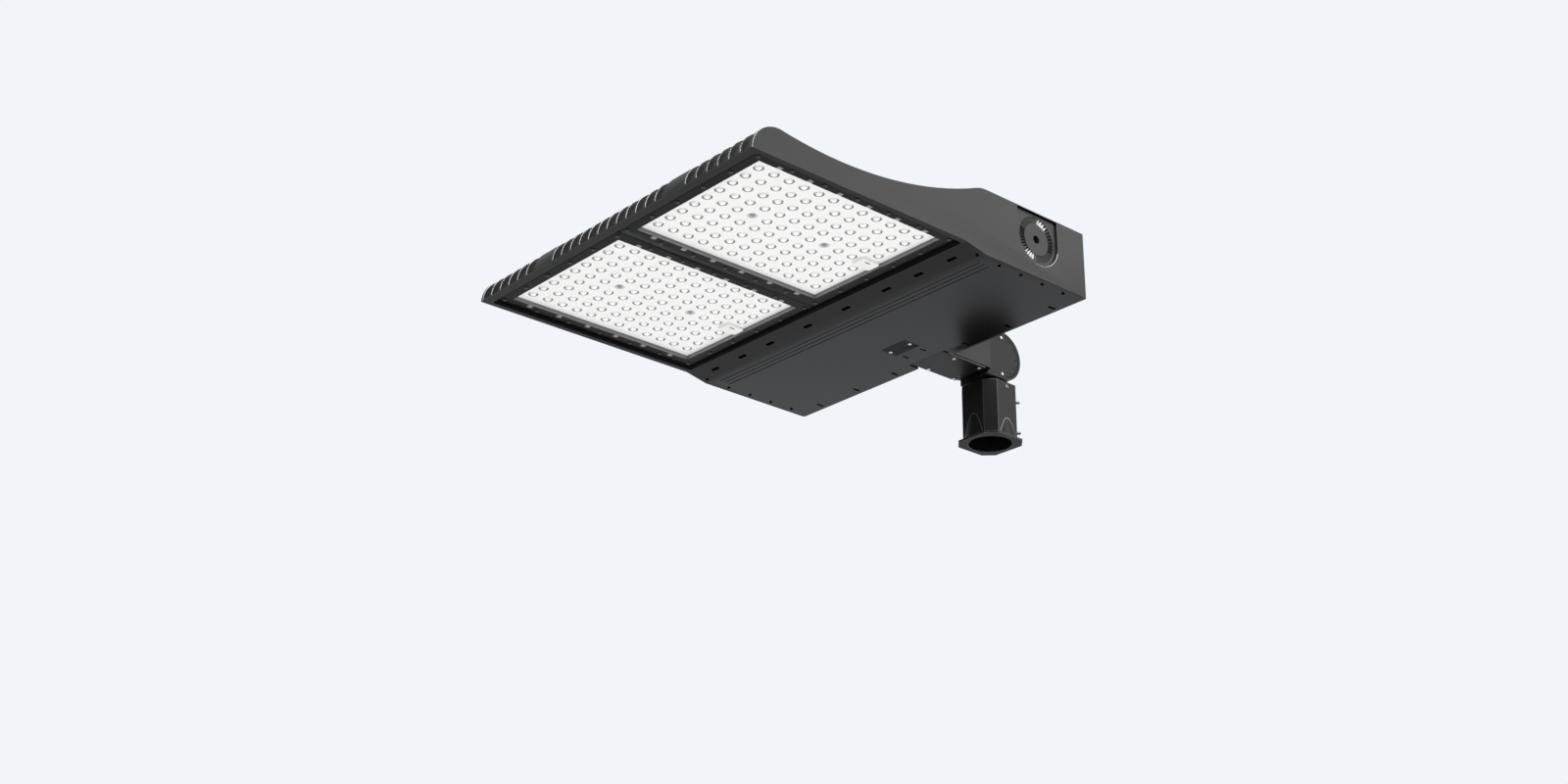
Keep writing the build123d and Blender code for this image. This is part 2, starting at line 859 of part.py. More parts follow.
driver_screws.part.label = "driver_screws"
export_step(driver_screws.part, "parts/driver_screws.step")
surge_protector.part.label = "surge_protector"
export_step(surge_protector.part, "parts/surge_protector.step")
terminal_bracket.part.label = "terminal_bracket"
export_step(terminal_bracket.part, "parts/terminal_bracket.step")
terminal_block.part.label = "terminal_block"
export_step(terminal_block.part, "parts/terminal_block.step")


# Arm: a hollow box bolted into the housing's notch, ending in two knuckle cheeks

def cheek_outline(toe_reach):
    """Round end of the knuckle with its toe, drawn in the sketch that is open."""
    with Locations((0, pivot_height)):
        Circle(disc_radius)
    Polygon(
        (0, pivot_height - disc_radius),
        (-toe_reach, pivot_height - disc_radius),
        (-arm_step, pivot_height - disc_radius + toe_rise),
        (0, pivot_height),
        align=None,
    )


with BuildPart() as arm:
    with BuildSketch(Plane.YZ):
        Polygon(
            (arm_front, arm_bottom),
            (-arm_step, arm_bottom),
            (-arm_step, pivot_height + arm_top),
            (arm_front, pivot_height + arm_top),
            align=None,
        )
    extrude(amount=arm_width / 2, both=True)
    fillet(arm.edges().filter_by(Axis.Y).group_by(Axis.Z)[-1], arm_wall)
    for sign, toe_reach in ((1, near_toe_reach), (-1, far_toe_reach)):
        with BuildSketch(Plane.YZ):
            cheek_outline(toe_reach)
        extrude(amount=sign * cheek_outer)

    # slot for the tongue, wiring cavity and the wire's way from one to the other
    with BuildSketch(Plane.XY.offset(pivot_height - 2 * disc_radius)):
        with Locations((0, -arm_block_end)):
            Rectangle(
                tongue_width + 2 * cheek_play,
                arm_block_end + 2 * disc_radius,
                align=(Align.CENTER, Align.MIN),
            )
    extrude(amount=4 * disc_radius, mode=Mode.SUBTRACT)
    cavity_rear = -arm_block_end - arm_wall
    with BuildSketch(Plane.XY.offset(arm_bottom)):
        with Locations((0, cavity_front)):
            Rectangle(
                arm_width - 2 * arm_wall,
                cavity_rear - cavity_front,
                align=(Align.CENTER, Align.MIN),
            )
    extrude(amount=arm_ceiling - arm_bottom, mode=Mode.SUBTRACT)
    with BuildSketch(Plane.XZ.offset(-arm_front)):
        with Locations((0, root_middle)):
            Circle(wire_hole_radius)
    extrude(amount=arm_front - cavity_front, mode=Mode.SUBTRACT)
    with BuildSketch(Plane.XZ.offset(-cavity_rear)):
        with Locations((0, root_middle)):
            Circle(wire_hole_radius)
    extrude(amount=cavity_rear + arm_block_end, mode=Mode.SUBTRACT)

    # posts for the arm cover's screws
    with BuildSketch(Plane.XY.offset(arm_bottom)):
        with Locations(arm_screw_places):
            Circle(arm_post_radius)
    extrude(amount=arm_ceiling - arm_bottom)
    with BuildSketch(Plane.XY.offset(arm_bottom)):
        with Locations(arm_screw_places):
            RegularPolygon(small_shank + screw_play, screw_sides)
    extrude(amount=small_shank_length, mode=Mode.SUBTRACT)

    # bolt holes in the root, then the pivot bore and its counterbores
    with BuildSketch(Plane.XZ.offset(-arm_front)):
        with Locations(mount_bolt_places):
            Circle(mount_bolt_radius + screw_play)
    extrude(amount=-arm_bolt_bite, mode=Mode.SUBTRACT)
    with Locations((0, 0, pivot_height)):
        with Locations(Rotation(0, 90, 0)):
            Cylinder(pivot_bolt_radius + pivot_play, 2 * cheek_outer, mode=Mode.SUBTRACT)
    for sign in (-1, 1):
        with BuildSketch(Plane.YZ.offset(sign * cheek_outer)):
            with Locations((0, pivot_height)):
                Circle(counterbore_radius)
        extrude(amount=-sign * counterbore_depth, mode=Mode.SUBTRACT)
        with BuildSketch(Plane.YZ.offset(sign * cheek_outer)):
            with Locations(dial_screw_places):
                RegularPolygon(small_shank + screw_play, screw_sides)
        extrude(amount=-sign * small_shank_length, mode=Mode.SUBTRACT)

arm.part.label = "arm"
export_step(arm.part, "parts/arm.step")

with BuildPart() as arm_gasket:
    with BuildSketch(Plane.XZ.offset(-arm_front)):
        with Locations((0, root_middle)):
            Rectangle(arm_width - 2 * arm_cover_inset, arm_gasket_height)
            Circle(wire_hole_radius, mode=Mode.SUBTRACT)
        with Locations(mount_bolt_places):
            Circle(mount_bolt_radius + bolt_play, mode=Mode.SUBTRACT)
    extrude(amount=arm_gasket_thickness)

bolt_grip = bay_wall + arm_gasket_thickness + arm_bolt_bite
mount_bolt = make_screw(
    mount_bolt_head, mount_bolt_head_height, mount_bolt_radius, bolt_grip, bolt_sides
)
with BuildPart() as arm_bolts:
    for x, z in mount_bolt_places:
        with Locations(Plane((x, rear - notch_depth - bay_wall, z), z_dir=(0, -1, 0))):
            add(mount_bolt)

with BuildPart() as arm_cover:
    with BuildSketch(Plane.XY.offset(underside)):
        with Locations((0, arm_front)):
            Rectangle(
                arm_width - 2 * arm_cover_inset,
                -arm_cover_end - arm_front,
                align=(Align.CENTER, Align.MIN),
            )
    extrude(amount=arm_cover_thickness)
    chamfer(arm_cover.faces().sort_by(Axis.Z)[0].edges().filter_by(Axis.Y), arm_cover_inset)
    with BuildSketch(Plane.XY.offset(underside)):
        with Locations(arm_screw_places):
            RegularPolygon(small_shank + screw_play, screw_sides)
    extrude(amount=arm_cover_thickness, mode=Mode.SUBTRACT)

with BuildPart() as arm_cover_gasket:
    with BuildSketch(Plane.XY.offset(underside + arm_cover_thickness)):
        with Locations((0, arm_front)):
            Rectangle(
                arm_width - 4 * arm_cover_inset,
                -arm_cover_end - arm_front - arm_cover_inset,
                align=(Align.CENTER, Align.MIN),
            )
        with Locations(arm_screw_places):
            Circle(small_shank + bolt_play, mode=Mode.SUBTRACT)
    extrude(amount=arm_seam)

arm_screw = make_screw(
    small_head, small_head_height, small_shank, arm_cover_thickness + arm_seam + arm_screw_bite
)
with BuildPart() as arm_cover_screws:
    for x, y in arm_screw_places:
        with Locations(Plane((x, y, underside), z_dir=(0, 0, -1))):
            add(arm_screw)

arm_gasket.part.label = "arm_gasket"
export_step(arm_gasket.part, "parts/arm_gasket.step")
arm_bolts.part.label = "arm_bolts"
export_step(arm_bolts.part, "parts/arm_bolts.step")
arm_cover.part.label = "arm_cover"
export_step(arm_cover.part, "parts/arm_cover.step")
arm_cover_gasket.part.label = "arm_cover_gasket"
export_step(arm_cover_gasket.part, "parts/arm_cover_gasket.step")
arm_cover_screws.part.label = "arm_cover_screws"
export_step(arm_cover_screws.part, "parts/arm_cover_screws.step")


# Knuckle: dial covers on both cheeks, and the pivot bolt with its nut and washers

for name, sign, toe_reach in (("near", 1, near_toe_reach), ("far", -1, far_toe_reach)):
    with BuildPart() as dial_cover:
        with BuildSketch(Plane.YZ.offset(sign * cheek_outer)):
            cheek_outline(toe_reach)
            with Locations((-arm_step + cheek_play, arm_bottom - cheek_play)):
                Rectangle(
                    disc_radius,
                    3 * disc_radius,
                    align=(Align.MAX, Align.MIN),
                    mode=Mode.SUBTRACT,
                )
            with Locations(dial_screw_places):
                RegularPolygon(small_shank + screw_play, screw_sides, mode=Mode.SUBTRACT)
        extrude(amount=sign * disc_cover_thickness)
        with BuildSketch(Plane.YZ.offset(sign * (cheek_outer + disc_cover_thickness))):
            with Locations(dial_screw_places):
                Circle(disc_screw_head + bolt_play)
        extrude(amount=-sign * disc_screw_sink, mode=Mode.SUBTRACT)
    dial_cover.part.label = f"dial_cover_{name}"
    export_step(dial_cover.part, f"parts/dial_cover_{name}.step")

dial_screw_length = disc_cover_thickness - disc_screw_sink + dial_screw_bite
dial_screw = make_screw(disc_screw_head, disc_screw_sink, small_shank, dial_screw_length)
with BuildPart() as dial_cover_screws:
    for sign in (-1, 1):
        seat_x = sign * (cheek_outer + disc_cover_thickness - disc_screw_sink)
        for y, z in dial_screw_places:
            with Locations(Plane((seat_x, y, z), z_dir=(sign, 0, 0))):
                add(dial_screw)

seat_x = cheek_outer - counterbore_depth
with BuildPart() as pivot_bolt:
    bolt_head_seat = seat_x + washer_thickness
    with BuildSketch(Plane.YZ.offset(bolt_head_seat)):
        with Locations((0, pivot_height)):
            RegularPolygon(pivot_head_radius, bolt_sides)
    extrude(amount=pivot_head_height)
    with BuildSketch(Plane.YZ.offset(bolt_head_seat)):
        with Locations((0, pivot_height)):
            Circle(pivot_bolt_radius)
    extrude(amount=-2 * bolt_head_seat - pivot_head_height)

with BuildPart() as pivot_nut:
    with BuildSketch(Plane.YZ.offset(-bolt_head_seat)):
        with Locations((0, pivot_height)):
            RegularPolygon(pivot_head_radius, bolt_sides)
            Circle(pivot_bolt_radius + screw_play, mode=Mode.SUBTRACT)
    extrude(amount=-pivot_head_height)

with BuildPart() as pivot_washers:
    for sign in (-1, 1):
        with BuildSketch(Plane.YZ.offset(sign * seat_x)):
            with Locations((0, pivot_height)):
                Circle(washer_radius)
                Circle(pivot_bolt_radius + washer_play, mode=Mode.SUBTRACT)
        extrude(amount=sign * washer_thickness)

dial_cover_screws.part.label = "dial_cover_screws"
export_step(dial_cover_screws.part, "parts/dial_cover_screws.step")
pivot_bolt.part.label = "pivot_bolt"
export_step(pivot_bolt.part, "parts/pivot_bolt.step")
pivot_nut.part.label = "pivot_nut"
export_step(pivot_nut.part, "parts/pivot_nut.step")
pivot_washers.part.label = "pivot_washers"
export_step(pivot_washers.part, "parts/pivot_washers.step")


# Slip fitter: an eight-sided sleeve with a flared skirt and a flange at its mouth, a round
# bore from below, and a tongue that stands between the arm's cheeks

with BuildPart() as slip_fitter:
    with BuildSketch():
        Rectangle(sleeve_width + 2 * mouth_overhang, sleeve_depth + 2 * mouth_overhang)
        chamfer(vertices(), sleeve_chamfer)
    extrude(amount=mouth_thickness)
    with BuildSketch():
        Rectangle(sleeve_width, sleeve_depth)
        chamfer(vertices(), sleeve_chamfer)
    extrude(amount=sleeve_height)
    with BuildSketch(Plane.XZ):
        with BuildLine():
            Polyline(
                (0, mouth_thickness),
                (skirt_foot_radius, mouth_thickness),
                (skirt_top_radius, mouth_thickness + skirt_height),
                (0, mouth_thickness + skirt_height),
                close=True,
            )
        make_face()
    revolve(axis=Axis.Z)
    with BuildSketch(Plane.YZ):
        with Locations((0, pivot_height)):
            Circle(tongue_radius)
            Rectangle(
                2 * tongue_radius,
                pivot_height - sleeve_height,
                align=(Align.CENTER, Align.MAX),
            )
    extrude(amount=tongue_width / 2, both=True)
    with BuildSketch():
        Circle(bore_radius)
    extrude(amount=bore_depth, mode=Mode.SUBTRACT)
    with BuildSketch():
        with Locations((0, -wire_port_forward)):
            Circle(wire_port_radius)
    extrude(amount=pivot_height + tongue_radius, mode=Mode.SUBTRACT)
    with Locations((0, 0, pivot_height)):
        with Locations(Rotation(0, 90, 0)):
            Cylinder(pivot_bolt_radius + pivot_play, tongue_width, mode=Mode.SUBTRACT)
    with Locations(set_screw_planes):
        Cylinder(
            set_screw_radius + set_screw_play,
            set_screw_reach,
            align=(Align.CENTER, Align.CENTER, Align.MIN),
            mode=Mode.SUBTRACT,
        )

with BuildPart() as set_screw:
    set_screw_tip = bore_radius + set_screw_tip_gap
    with BuildSketch(Plane.XY.offset(set_screw_tip)):
        Circle(set_screw_radius)
    extrude(amount=set_screw_reach - set_screw_tip)
    chamfer(set_screw.edges().group_by(Axis.Z)[-1], set_screw_chamfer)
    with BuildSketch(Plane.XY.offset(set_screw_reach)):
        RegularPolygon(set_screw_socket, bolt_sides)
    extrude(amount=-set_screw_socket_depth, mode=Mode.SUBTRACT)

with BuildPart() as set_screws:
    with Locations(set_screw_planes):
        add(set_screw.part)

slip_fitter.part.label = "slip_fitter"
export_step(slip_fitter.part, "parts/slip_fitter.step")
set_screws.part.label = "set_screws"
export_step(set_screws.part, "parts/set_screws.step")
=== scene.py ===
# %% [markdown]
# # LED flood light on a slip fitter
#
# This lesson dresses a packed construction model: a finned flood light head, the hollow arm and
# tilt knuckle that carry it, and the eight-sided sleeve that carries them. The construction
# already has every piece at its real size, so each step here looks at one piece or finish, says
# what it is on the real light, and gives it the form and surface that a close look would show.
# Everything is in metres, in the frame of the construction: the origin is at the middle of the
# sleeve's mouth, +Z goes up the sleeve, and -Y points to the head's nose.

# %% Load the construction
import json

import bmesh
import bpy
import numpy as np
from mathutils import Matrix, Vector

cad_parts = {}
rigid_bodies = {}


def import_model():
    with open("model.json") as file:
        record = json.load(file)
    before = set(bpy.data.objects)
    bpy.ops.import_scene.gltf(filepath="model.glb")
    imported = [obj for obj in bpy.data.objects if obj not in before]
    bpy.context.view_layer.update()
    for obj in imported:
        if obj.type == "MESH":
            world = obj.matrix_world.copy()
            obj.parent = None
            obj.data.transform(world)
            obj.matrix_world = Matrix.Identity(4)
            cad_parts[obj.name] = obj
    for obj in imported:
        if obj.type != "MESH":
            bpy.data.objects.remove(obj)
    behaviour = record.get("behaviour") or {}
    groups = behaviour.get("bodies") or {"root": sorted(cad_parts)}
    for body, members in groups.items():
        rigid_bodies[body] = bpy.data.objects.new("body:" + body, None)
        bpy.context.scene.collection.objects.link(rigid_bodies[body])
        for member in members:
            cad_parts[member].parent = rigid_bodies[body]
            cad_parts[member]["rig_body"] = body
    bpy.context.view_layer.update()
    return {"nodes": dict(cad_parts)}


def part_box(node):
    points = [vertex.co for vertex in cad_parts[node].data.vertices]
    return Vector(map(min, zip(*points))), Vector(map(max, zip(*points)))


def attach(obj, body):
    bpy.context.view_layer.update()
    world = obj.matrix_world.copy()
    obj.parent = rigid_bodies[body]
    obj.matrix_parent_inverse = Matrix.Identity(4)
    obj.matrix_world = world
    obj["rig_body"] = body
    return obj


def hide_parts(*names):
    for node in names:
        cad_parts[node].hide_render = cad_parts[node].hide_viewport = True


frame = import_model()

MM = 0.001

# %% [markdown]
# ## Levels that several pieces share
#
# Pieces that replace one of the construction's nodes stay where that node is, so their levels
# and centres are read from its box, in millimetres. Pitches and small sizes that a box can't
# tell are written where they are first needed.

# %% Shared levels
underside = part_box("driver_cover")[0].z / MM
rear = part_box("housing")[1].y / MM
bezel_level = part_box("bezel_near")[0].z / MM
plate_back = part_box("lens_plate_near")[1].z / MM
print("underside", round(underside, 2), "rear", round(rear, 2), "bezel", round(bezel_level, 2))

# %% [markdown]
# ## Finishes
#
# The castings are powder coated: a very dark charcoal with a satin sheen and a fine grain, like
# the skin of an orange seen from far away. The grain is a bump from a fine noise in object
# coordinates, and a slow noise lets the tone and roughness drift a little over a large face.
# Most of a noise lies between 0.3 and 0.7, so that range is spread over what it drives.

# %% Node helpers
NOISE_RANGE = (0.3, 0.7)


def new_material(name):
    """An empty material with its output and its one surface shader."""
    material = bpy.data.materials.new(name)
    material.use_nodes = True
    nodes = material.node_tree.nodes
    return material, nodes, material.node_tree.links, nodes["Principled BSDF"]


def noise(nodes, links, scale, detail=3.0):
    """A noise in object coordinates, with its scale per metre."""
    place = nodes.new("ShaderNodeTexCoord")
    texture = nodes.new("ShaderNodeTexNoise")
    texture.inputs["Scale"].default_value = scale
    texture.inputs["Detail"].default_value = detail
    texture.inputs["Roughness"].default_value = 0.55
    links.new(place.outputs["Object"], texture.inputs["Vector"])
    return texture


def between(nodes, links, source, low, high):
    """The source's middle range spread from low to high."""
    spread = nodes.new("ShaderNodeMapRange")
    spread.inputs["From Min"].default_value = NOISE_RANGE[0]
    spread.inputs["From Max"].default_value = NOISE_RANGE[1]
    spread.inputs["To Min"].default_value = low
    spread.inputs["To Max"].default_value = high
    links.new(source, spread.inputs["Value"])
    return spread.outputs["Result"]


def tones(nodes, links, source, dark, light):
    """A colour that goes from dark to light with the source."""
    ramp = nodes.new("ShaderNodeValToRGB")
    ramp.color_ramp.elements[0].position = NOISE_RANGE[0]
    ramp.color_ramp.elements[1].position = NOISE_RANGE[1]
    ramp.color_ramp.elements[0].color = (*dark, 1)
    ramp.color_ramp.elements[1].color = (*light, 1)
    links.new(source, ramp.inputs["Fac"])
    return ramp.outputs["Color"]


# %% [markdown]
# One function makes every coat, so that the pieces differ only in tone, roughness, specular
# level and grain.

# %% Powder and plastic
SLOW_SCALE = 9.0
ROUGH_DRIFT = 0.03


def grain(nodes, links, shader, scale, depth):
    """A fine bump on the shader, with its depth in millimetres."""
    texture = noise(nodes, links, scale, detail=2.0)
    bump = nodes.new("ShaderNodeBump")
    bump.inputs["Strength"].default_value = 1.0
    bump.inputs["Distance"].default_value = depth * MM
    links.new(texture.outputs["Fac"], bump.inputs["Height"])
    links.new(bump.outputs["Normal"], shader.inputs["Normal"])


def coat(name, tone, rough, specular, grain_scale=1400, grain_depth=0.012, drift=0.12):
    """Powder or moulded plastic: a tone that drifts by a share, a roughness and a fine grain."""
    material, nodes, links, shader = new_material(name)
    slow = noise(nodes, links, SLOW_SCALE)
    dark = [v * (1 - drift) for v in tone]
    light = [v * (1 + drift) for v in tone]
    links.new(tones(nodes, links, slow.outputs["Fac"], dark, light), shader.inputs["Base Color"])
    fine = noise(nodes, links, grain_scale / 3)
    spread = between(nodes, links, fine.outputs["Fac"], rough - ROUGH_DRIFT, rough + ROUGH_DRIFT)
    links.new(spread, shader.inputs["Roughness"])
    shader.inputs["Specular IOR Level"].default_value = specular
    shader.inputs["Specular Tint"].default_value = (1.0, 0.97, 0.93, 1)
    grain(nodes, links, shader, grain_scale, grain_depth)
    return material


def grey(value):
    """A tone with this value for red, green and blue."""
    return (value, value, value)


# %% [markdown]
# The flank of a hub tooth that is turned away from the light gets painted shade: a dull coat
# that goes from its tone at the tooth's ridge to black at its foot. Steel has faint drawn
# streaks and a little soil.

# %% Thin powder and steel
SOIL_SCALE = 260.0
SOILED = 0.82
STREAK_SCALE = 900.0


def thin_coat(name, tone, outer, inner):
    """Painted shade: the tone where |x| is outer, going to black where it is inner, in
    millimetres.
    """
    material, nodes, links, shader = new_material(name)
    place = nodes.new("ShaderNodeTexCoord")
    split = nodes.new("ShaderNodeSeparateXYZ")
    links.new(place.outputs["Object"], split.inputs["Vector"])
    size = nodes.new("ShaderNodeMath")
    size.operation = "ABSOLUTE"
    links.new(split.outputs["X"], size.inputs[0])
    depth = nodes.new("ShaderNodeMapRange")
    depth.inputs["From Min"].default_value = inner * MM
    depth.inputs["From Max"].default_value = outer * MM
    links.new(size.outputs["Value"], depth.inputs["Value"])
    full = tones(nodes, links, depth.outputs["Result"], grey(0.001), tone)
    links.new(full, shader.inputs["Base Color"])
    shader.inputs["Roughness"].default_value = 0.6
    shader.inputs["Specular IOR Level"].default_value = 0.02
    return material


def steel(name, tone, rough):
    """Stainless steel with faint drawn streaks and a little soil in its tone."""
    material, nodes, links, shader = new_material(name)
    shader.inputs["Metallic"].default_value = 1.0
    soil = noise(nodes, links, SOIL_SCALE)
    dark = [v * SOILED for v in tone]
    links.new(tones(nodes, links, soil.outputs["Fac"], dark, tone), shader.inputs["Base Color"])
    streak = noise(nodes, links, STREAK_SCALE)
    spread = between(nodes, links, streak.outputs["Fac"], rough - 0.05, rough + 0.07)
    links.new(spread, shader.inputs["Roughness"])
    return material


# %% [markdown]
# Of the large pieces the driver cover has the smoothest coat. A rounded edge gets a lighter,
# glossier coat than the face beside it, a painted highlight. The lit flanks of the teeth get the
# most glossy coat of all, lighter than the housing's as painted light.

# %% Coats of the castings
FINE_GRAIN = 2400
TOOTH_RIDGE = 305.1
TOOTH_FOOT = 303.1
housing_coat = coat("housing_coat", grey(0.010), 0.42, 0.12)
cover_coat = coat("cover_coat", grey(0.003), 0.24, 0.13)
plate_coat = coat("plate_coat", (0.006, 0.006, 0.0062), 0.45, 0.05)
arm_coat = coat("arm_coat", grey(0.008), 0.40, 0.12)
disc_coat = coat("disc_coat", grey(0.006), 0.42, 0.09)
sleeve_coat = coat("sleeve_coat", grey(0.004), 0.42, 0.10)
# painted highlight: a lighter, glossier coat for the rounded edges and the pointer
edge_highlight_paint = coat("edge_highlight_paint", grey(0.022), 0.26, 0.40, FINE_GRAIN, 0.004)
# painted light: a lighter, glossier copy of the coat for the teeth's lit flanks
tooth_lit_paint = coat("tooth_lit_paint", grey(0.020), 0.18, 0.50, FINE_GRAIN, 0.002)
# painted shade on the teeth's flanks turned from the light, black towards their foot
flank_painted_shade = thin_coat("flank_painted_shade", grey(0.04), TOOTH_RIDGE, TOOTH_FOOT)
# painted light on the floors between the nose fins
gap_painted_light = coat("gap_painted_light", grey(0.012), 0.42, 0.34)
print(len(bpy.data.materials), "finishes so far")

# %% Plastics, rubber and steel
bezel_plastic = coat("bezel_plastic", grey(0.004), 0.34, 0.06, FINE_GRAIN, 0.006)
# black ink for print and black screws, and painted shade in the grooves and under the pocket roofs
black_ink_and_painted_shade = coat("black_ink_and_painted_shade", grey(0.001), 0.60, 0.01, FINE_GRAIN, 0.004)
seal_rubber = coat("seal_rubber", grey(0.006), 0.75, 0.10, 1800, 0.010)
board_white = coat("board_white", (0.80, 0.80, 0.78), 0.40, 0.40, FINE_GRAIN, 0.003, 0.02)
case_metal = steel("case_metal", (0.62, 0.62, 0.63), 0.42)
block_white = coat("block_white", (0.78, 0.78, 0.76), 0.35, 0.45, FINE_GRAIN, 0.003, 0.02)
# black plastic, also used as painted shade in the wiring slot
black_plastic_and_painted_shade = coat("black_plastic_and_painted_shade", grey(0.01), 0.40, 0.30, FINE_GRAIN, 0.004)
# painted highlight on the seams of the sleeve's foot
seam_painted_highlight = steel("seam_painted_highlight", grey(0.13), 0.50)
# painted highlight on the rims round the nose and the pockets
rim_painted_highlight = coat("rim_painted_highlight", grey(0.34), 0.60, 0.30)
screw_steel = steel("screw_steel", (0.74, 0.75, 0.76), 0.22)
screw_nylon = coat("screw_nylon", grey(0.30), 0.40, 0.40, FINE_GRAIN, 0.003)
dark_steel = steel("dark_steel", grey(0.10), 0.30)
bolt_steel = steel("bolt_steel", (0.50, 0.51, 0.52), 0.30)
print(len(bpy.data.materials), "finishes so far")

# %% [markdown]
# The windows are moulded in a clear, slightly milky plastic with a white board close behind, so
# they read as a bright, glossy white. Light that enters the flank of a lens is bent away from
# the white board, and the flank looks grey. That grey is painted shade in the base colour, kept
# in an attribute of the mesh, called shade, from 0 on a clear flat part to 1 on a steep flank.

# %% Lens plastic
MOTTLE_SCALE = 420.0


def lens_finish(name, clear, flank):
    """Glossy plastic whose tone goes from clear to painted shade with the mesh's shade attribute.
    """
    material, nodes, links, shader = new_material(name)
    shade = nodes.new("ShaderNodeAttribute")
    shade.attribute_name = "shade"
    ramp = nodes.new("ShaderNodeValToRGB")
    ramp.color_ramp.elements[0].color = (*clear, 1)
    ramp.color_ramp.elements[1].color = (*flank, 1)
    links.new(shade.outputs["Fac"], ramp.inputs["Fac"])
    mottle = noise(nodes, links, MOTTLE_SCALE, detail=4.0)
    cloud = tones(nodes, links, mottle.outputs["Fac"], (0.93, 0.93, 0.93), (1.0, 1.0, 1.0))
    blend = nodes.new("ShaderNodeMix")
    blend.data_type = "RGBA"
    blend.blend_type = "MULTIPLY"
    blend.inputs["Factor"].default_value = 1.0
    links.new(ramp.outputs["Color"], blend.inputs["A"])
    links.new(cloud, blend.inputs["B"])
    links.new(blend.outputs["Result"], shader.inputs["Base Color"])
    shader.inputs["Roughness"].default_value = 0.16
    shader.inputs["Specular IOR Level"].default_value = 0.5
    return material


lens_white = lens_finish("lens_white", (0.99, 0.975, 0.955), (0.10, 0.099, 0.098))
print(len(bpy.data.materials), "finishes in all")

# %% [markdown]
# ## Castings and sheets with eased edges
#
# No cast, moulded or bent piece has a knife edge: it is eased by a few tenths of a millimetre,
# and that is what catches the light as a thin bright line along every fin and rim. The
# construction has sharp edges, so each of these pieces is a copy of its node, with the loose
# triangles merged and flat areas made one face again. A bevel then rounds the outer edges and
# keeps the flat areas flat in the shading. The bevel has its own coat, lighter and glossier than
# the face beside it, which is a painted highlight. Edges shorter than a small limit stay as they
# are, because they belong to screw holes and teeth.

# %% Put a piece in its place
def place_piece(name, mesh, materials, body, stands_for):
    """A finished object with this mesh that rides on body and stands for the given nodes."""
    for material in materials:
        mesh.materials.append(material)
    piece = bpy.data.objects.new(name, mesh)
    bpy.context.scene.collection.objects.link(piece)
    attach(piece, body)
    if stands_for:
        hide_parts(*stands_for)
    return piece


# %% An eased copy of a node
SHARP = 0.52
FLAT = 0.01
WELD = 0.001
ROUNDING_STEPS = 2


def eased(node, material, ease, shortest=1.3, spared=None, seam=None, rim=edge_highlight_paint):
    """A copy of a node whose outer edges, those over 30 degrees, are rounded by ease.

    Spared is a y, a z and a radius: edges nearer than that to the line along X stay sharp.
    Seam is a test for flatter edges that are rounded too, and rim is the coat of the rounding.
    """
    mesh = frame["nodes"][node].data.copy()
    mesh.name = node + "_finished"
    mesh.materials.clear()
    shape = bmesh.new()
    shape.from_mesh(mesh)
    bmesh.ops.remove_doubles(shape, verts=shape.verts, dist=WELD * MM)
    bmesh.ops.dissolve_limit(shape, angle_limit=FLAT, verts=shape.verts, edges=shape.edges)
    weight = shape.edges.layers.float.new("bevel_weight_edge")
    count = 0
    for edge in shape.edges:
        turn = edge.calc_face_angle(0)
        edge.smooth = turn < SHARP
        if spared:
            middle = (edge.verts[0].co + edge.verts[1].co) / 2 / MM
            if np.hypot(middle.y - spared[0], middle.z - spared[1]) < spared[2]:
                continue
        long_enough = edge.is_convex and edge.calc_length() > shortest * MM
        if turn > SHARP and long_enough or seam and seam(edge):
            edge[weight] = 1.0
            count += 1
    for face in shape.faces:
        face.smooth = True
    shape.to_mesh(mesh)
    shape.free()
    body = frame["nodes"][node]["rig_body"]
    piece = place_piece(node + "_finished", mesh, [material, rim], body, [node])
    bevel = piece.modifiers.new("eased", "BEVEL")
    bevel.limit_method = "WEIGHT"
    bevel.width = ease * MM
    bevel.segments = ROUNDING_STEPS
    bevel.material = 1
    bevel.use_clamp_overlap = False
    bevel.harden_normals = True
    ready = piece.evaluated_get(bpy.context.evaluated_depsgraph_get())
    piece.data = bpy.data.meshes.new_from_object(ready)
    piece.modifiers.clear()
    bpy.data.meshes.remove(mesh)
    print(node, "eased along", count, "edges,", len(piece.data.polygons), "faces")
    return piece


# %% [markdown]
# The housing is one casting: fins on top, two side walls, and in each wall a pocket with a
# toothed hub. The teeth are finer than the rounding, so the edges near the hub's axis are spared.

# %% Housing
HUB_Y = -219.0
HUB_Z = 169.5
HUB_RADIUS = 37.0
housing = eased("housing", housing_coat, ease=0.5, spared=(HUB_Y, HUB_Z, HUB_RADIUS))

# %% [markdown]
# The coat of one casting isn't the same everywhere. It is chosen face by face, from where the
# face's centre lies, where its normal points and whether it belongs to a rounded edge.

# %% Another coat on some faces
def repaint(piece, material, chosen):
    """Another coat on the faces chosen by centre in millimetres, normal and being a rim."""
    faces = piece.data.polygons
    centre, normal = np.empty(len(faces) * 3), np.empty(len(faces) * 3)
    coats = np.empty(len(faces), np.int32)
    faces.foreach_get("center", centre)
    faces.foreach_get("normal", normal)
    faces.foreach_get("material_index", coats)
    picked = chosen(centre.reshape(-1, 3) / MM, normal.reshape(-1, 3), coats == 1)
    coats[picked] = len(piece.data.materials)
    faces.foreach_set("material_index", coats)
    piece.data.materials.append(material)
    print(piece.name, "has", int(picked.sum()), "faces in", material.name)


def within(values, limits):
    """Where the values lie between the two limits."""
    return (values > limits[0]) & (values < limits[1])


def from_hub(centre):
    """Distance of each centre from the hub's axis: sqrt((y - HUB_Y)^2 + (z - HUB_Z)^2)."""
    return np.hypot(centre[:, 1] - HUB_Y, centre[:, 2] - HUB_Z)


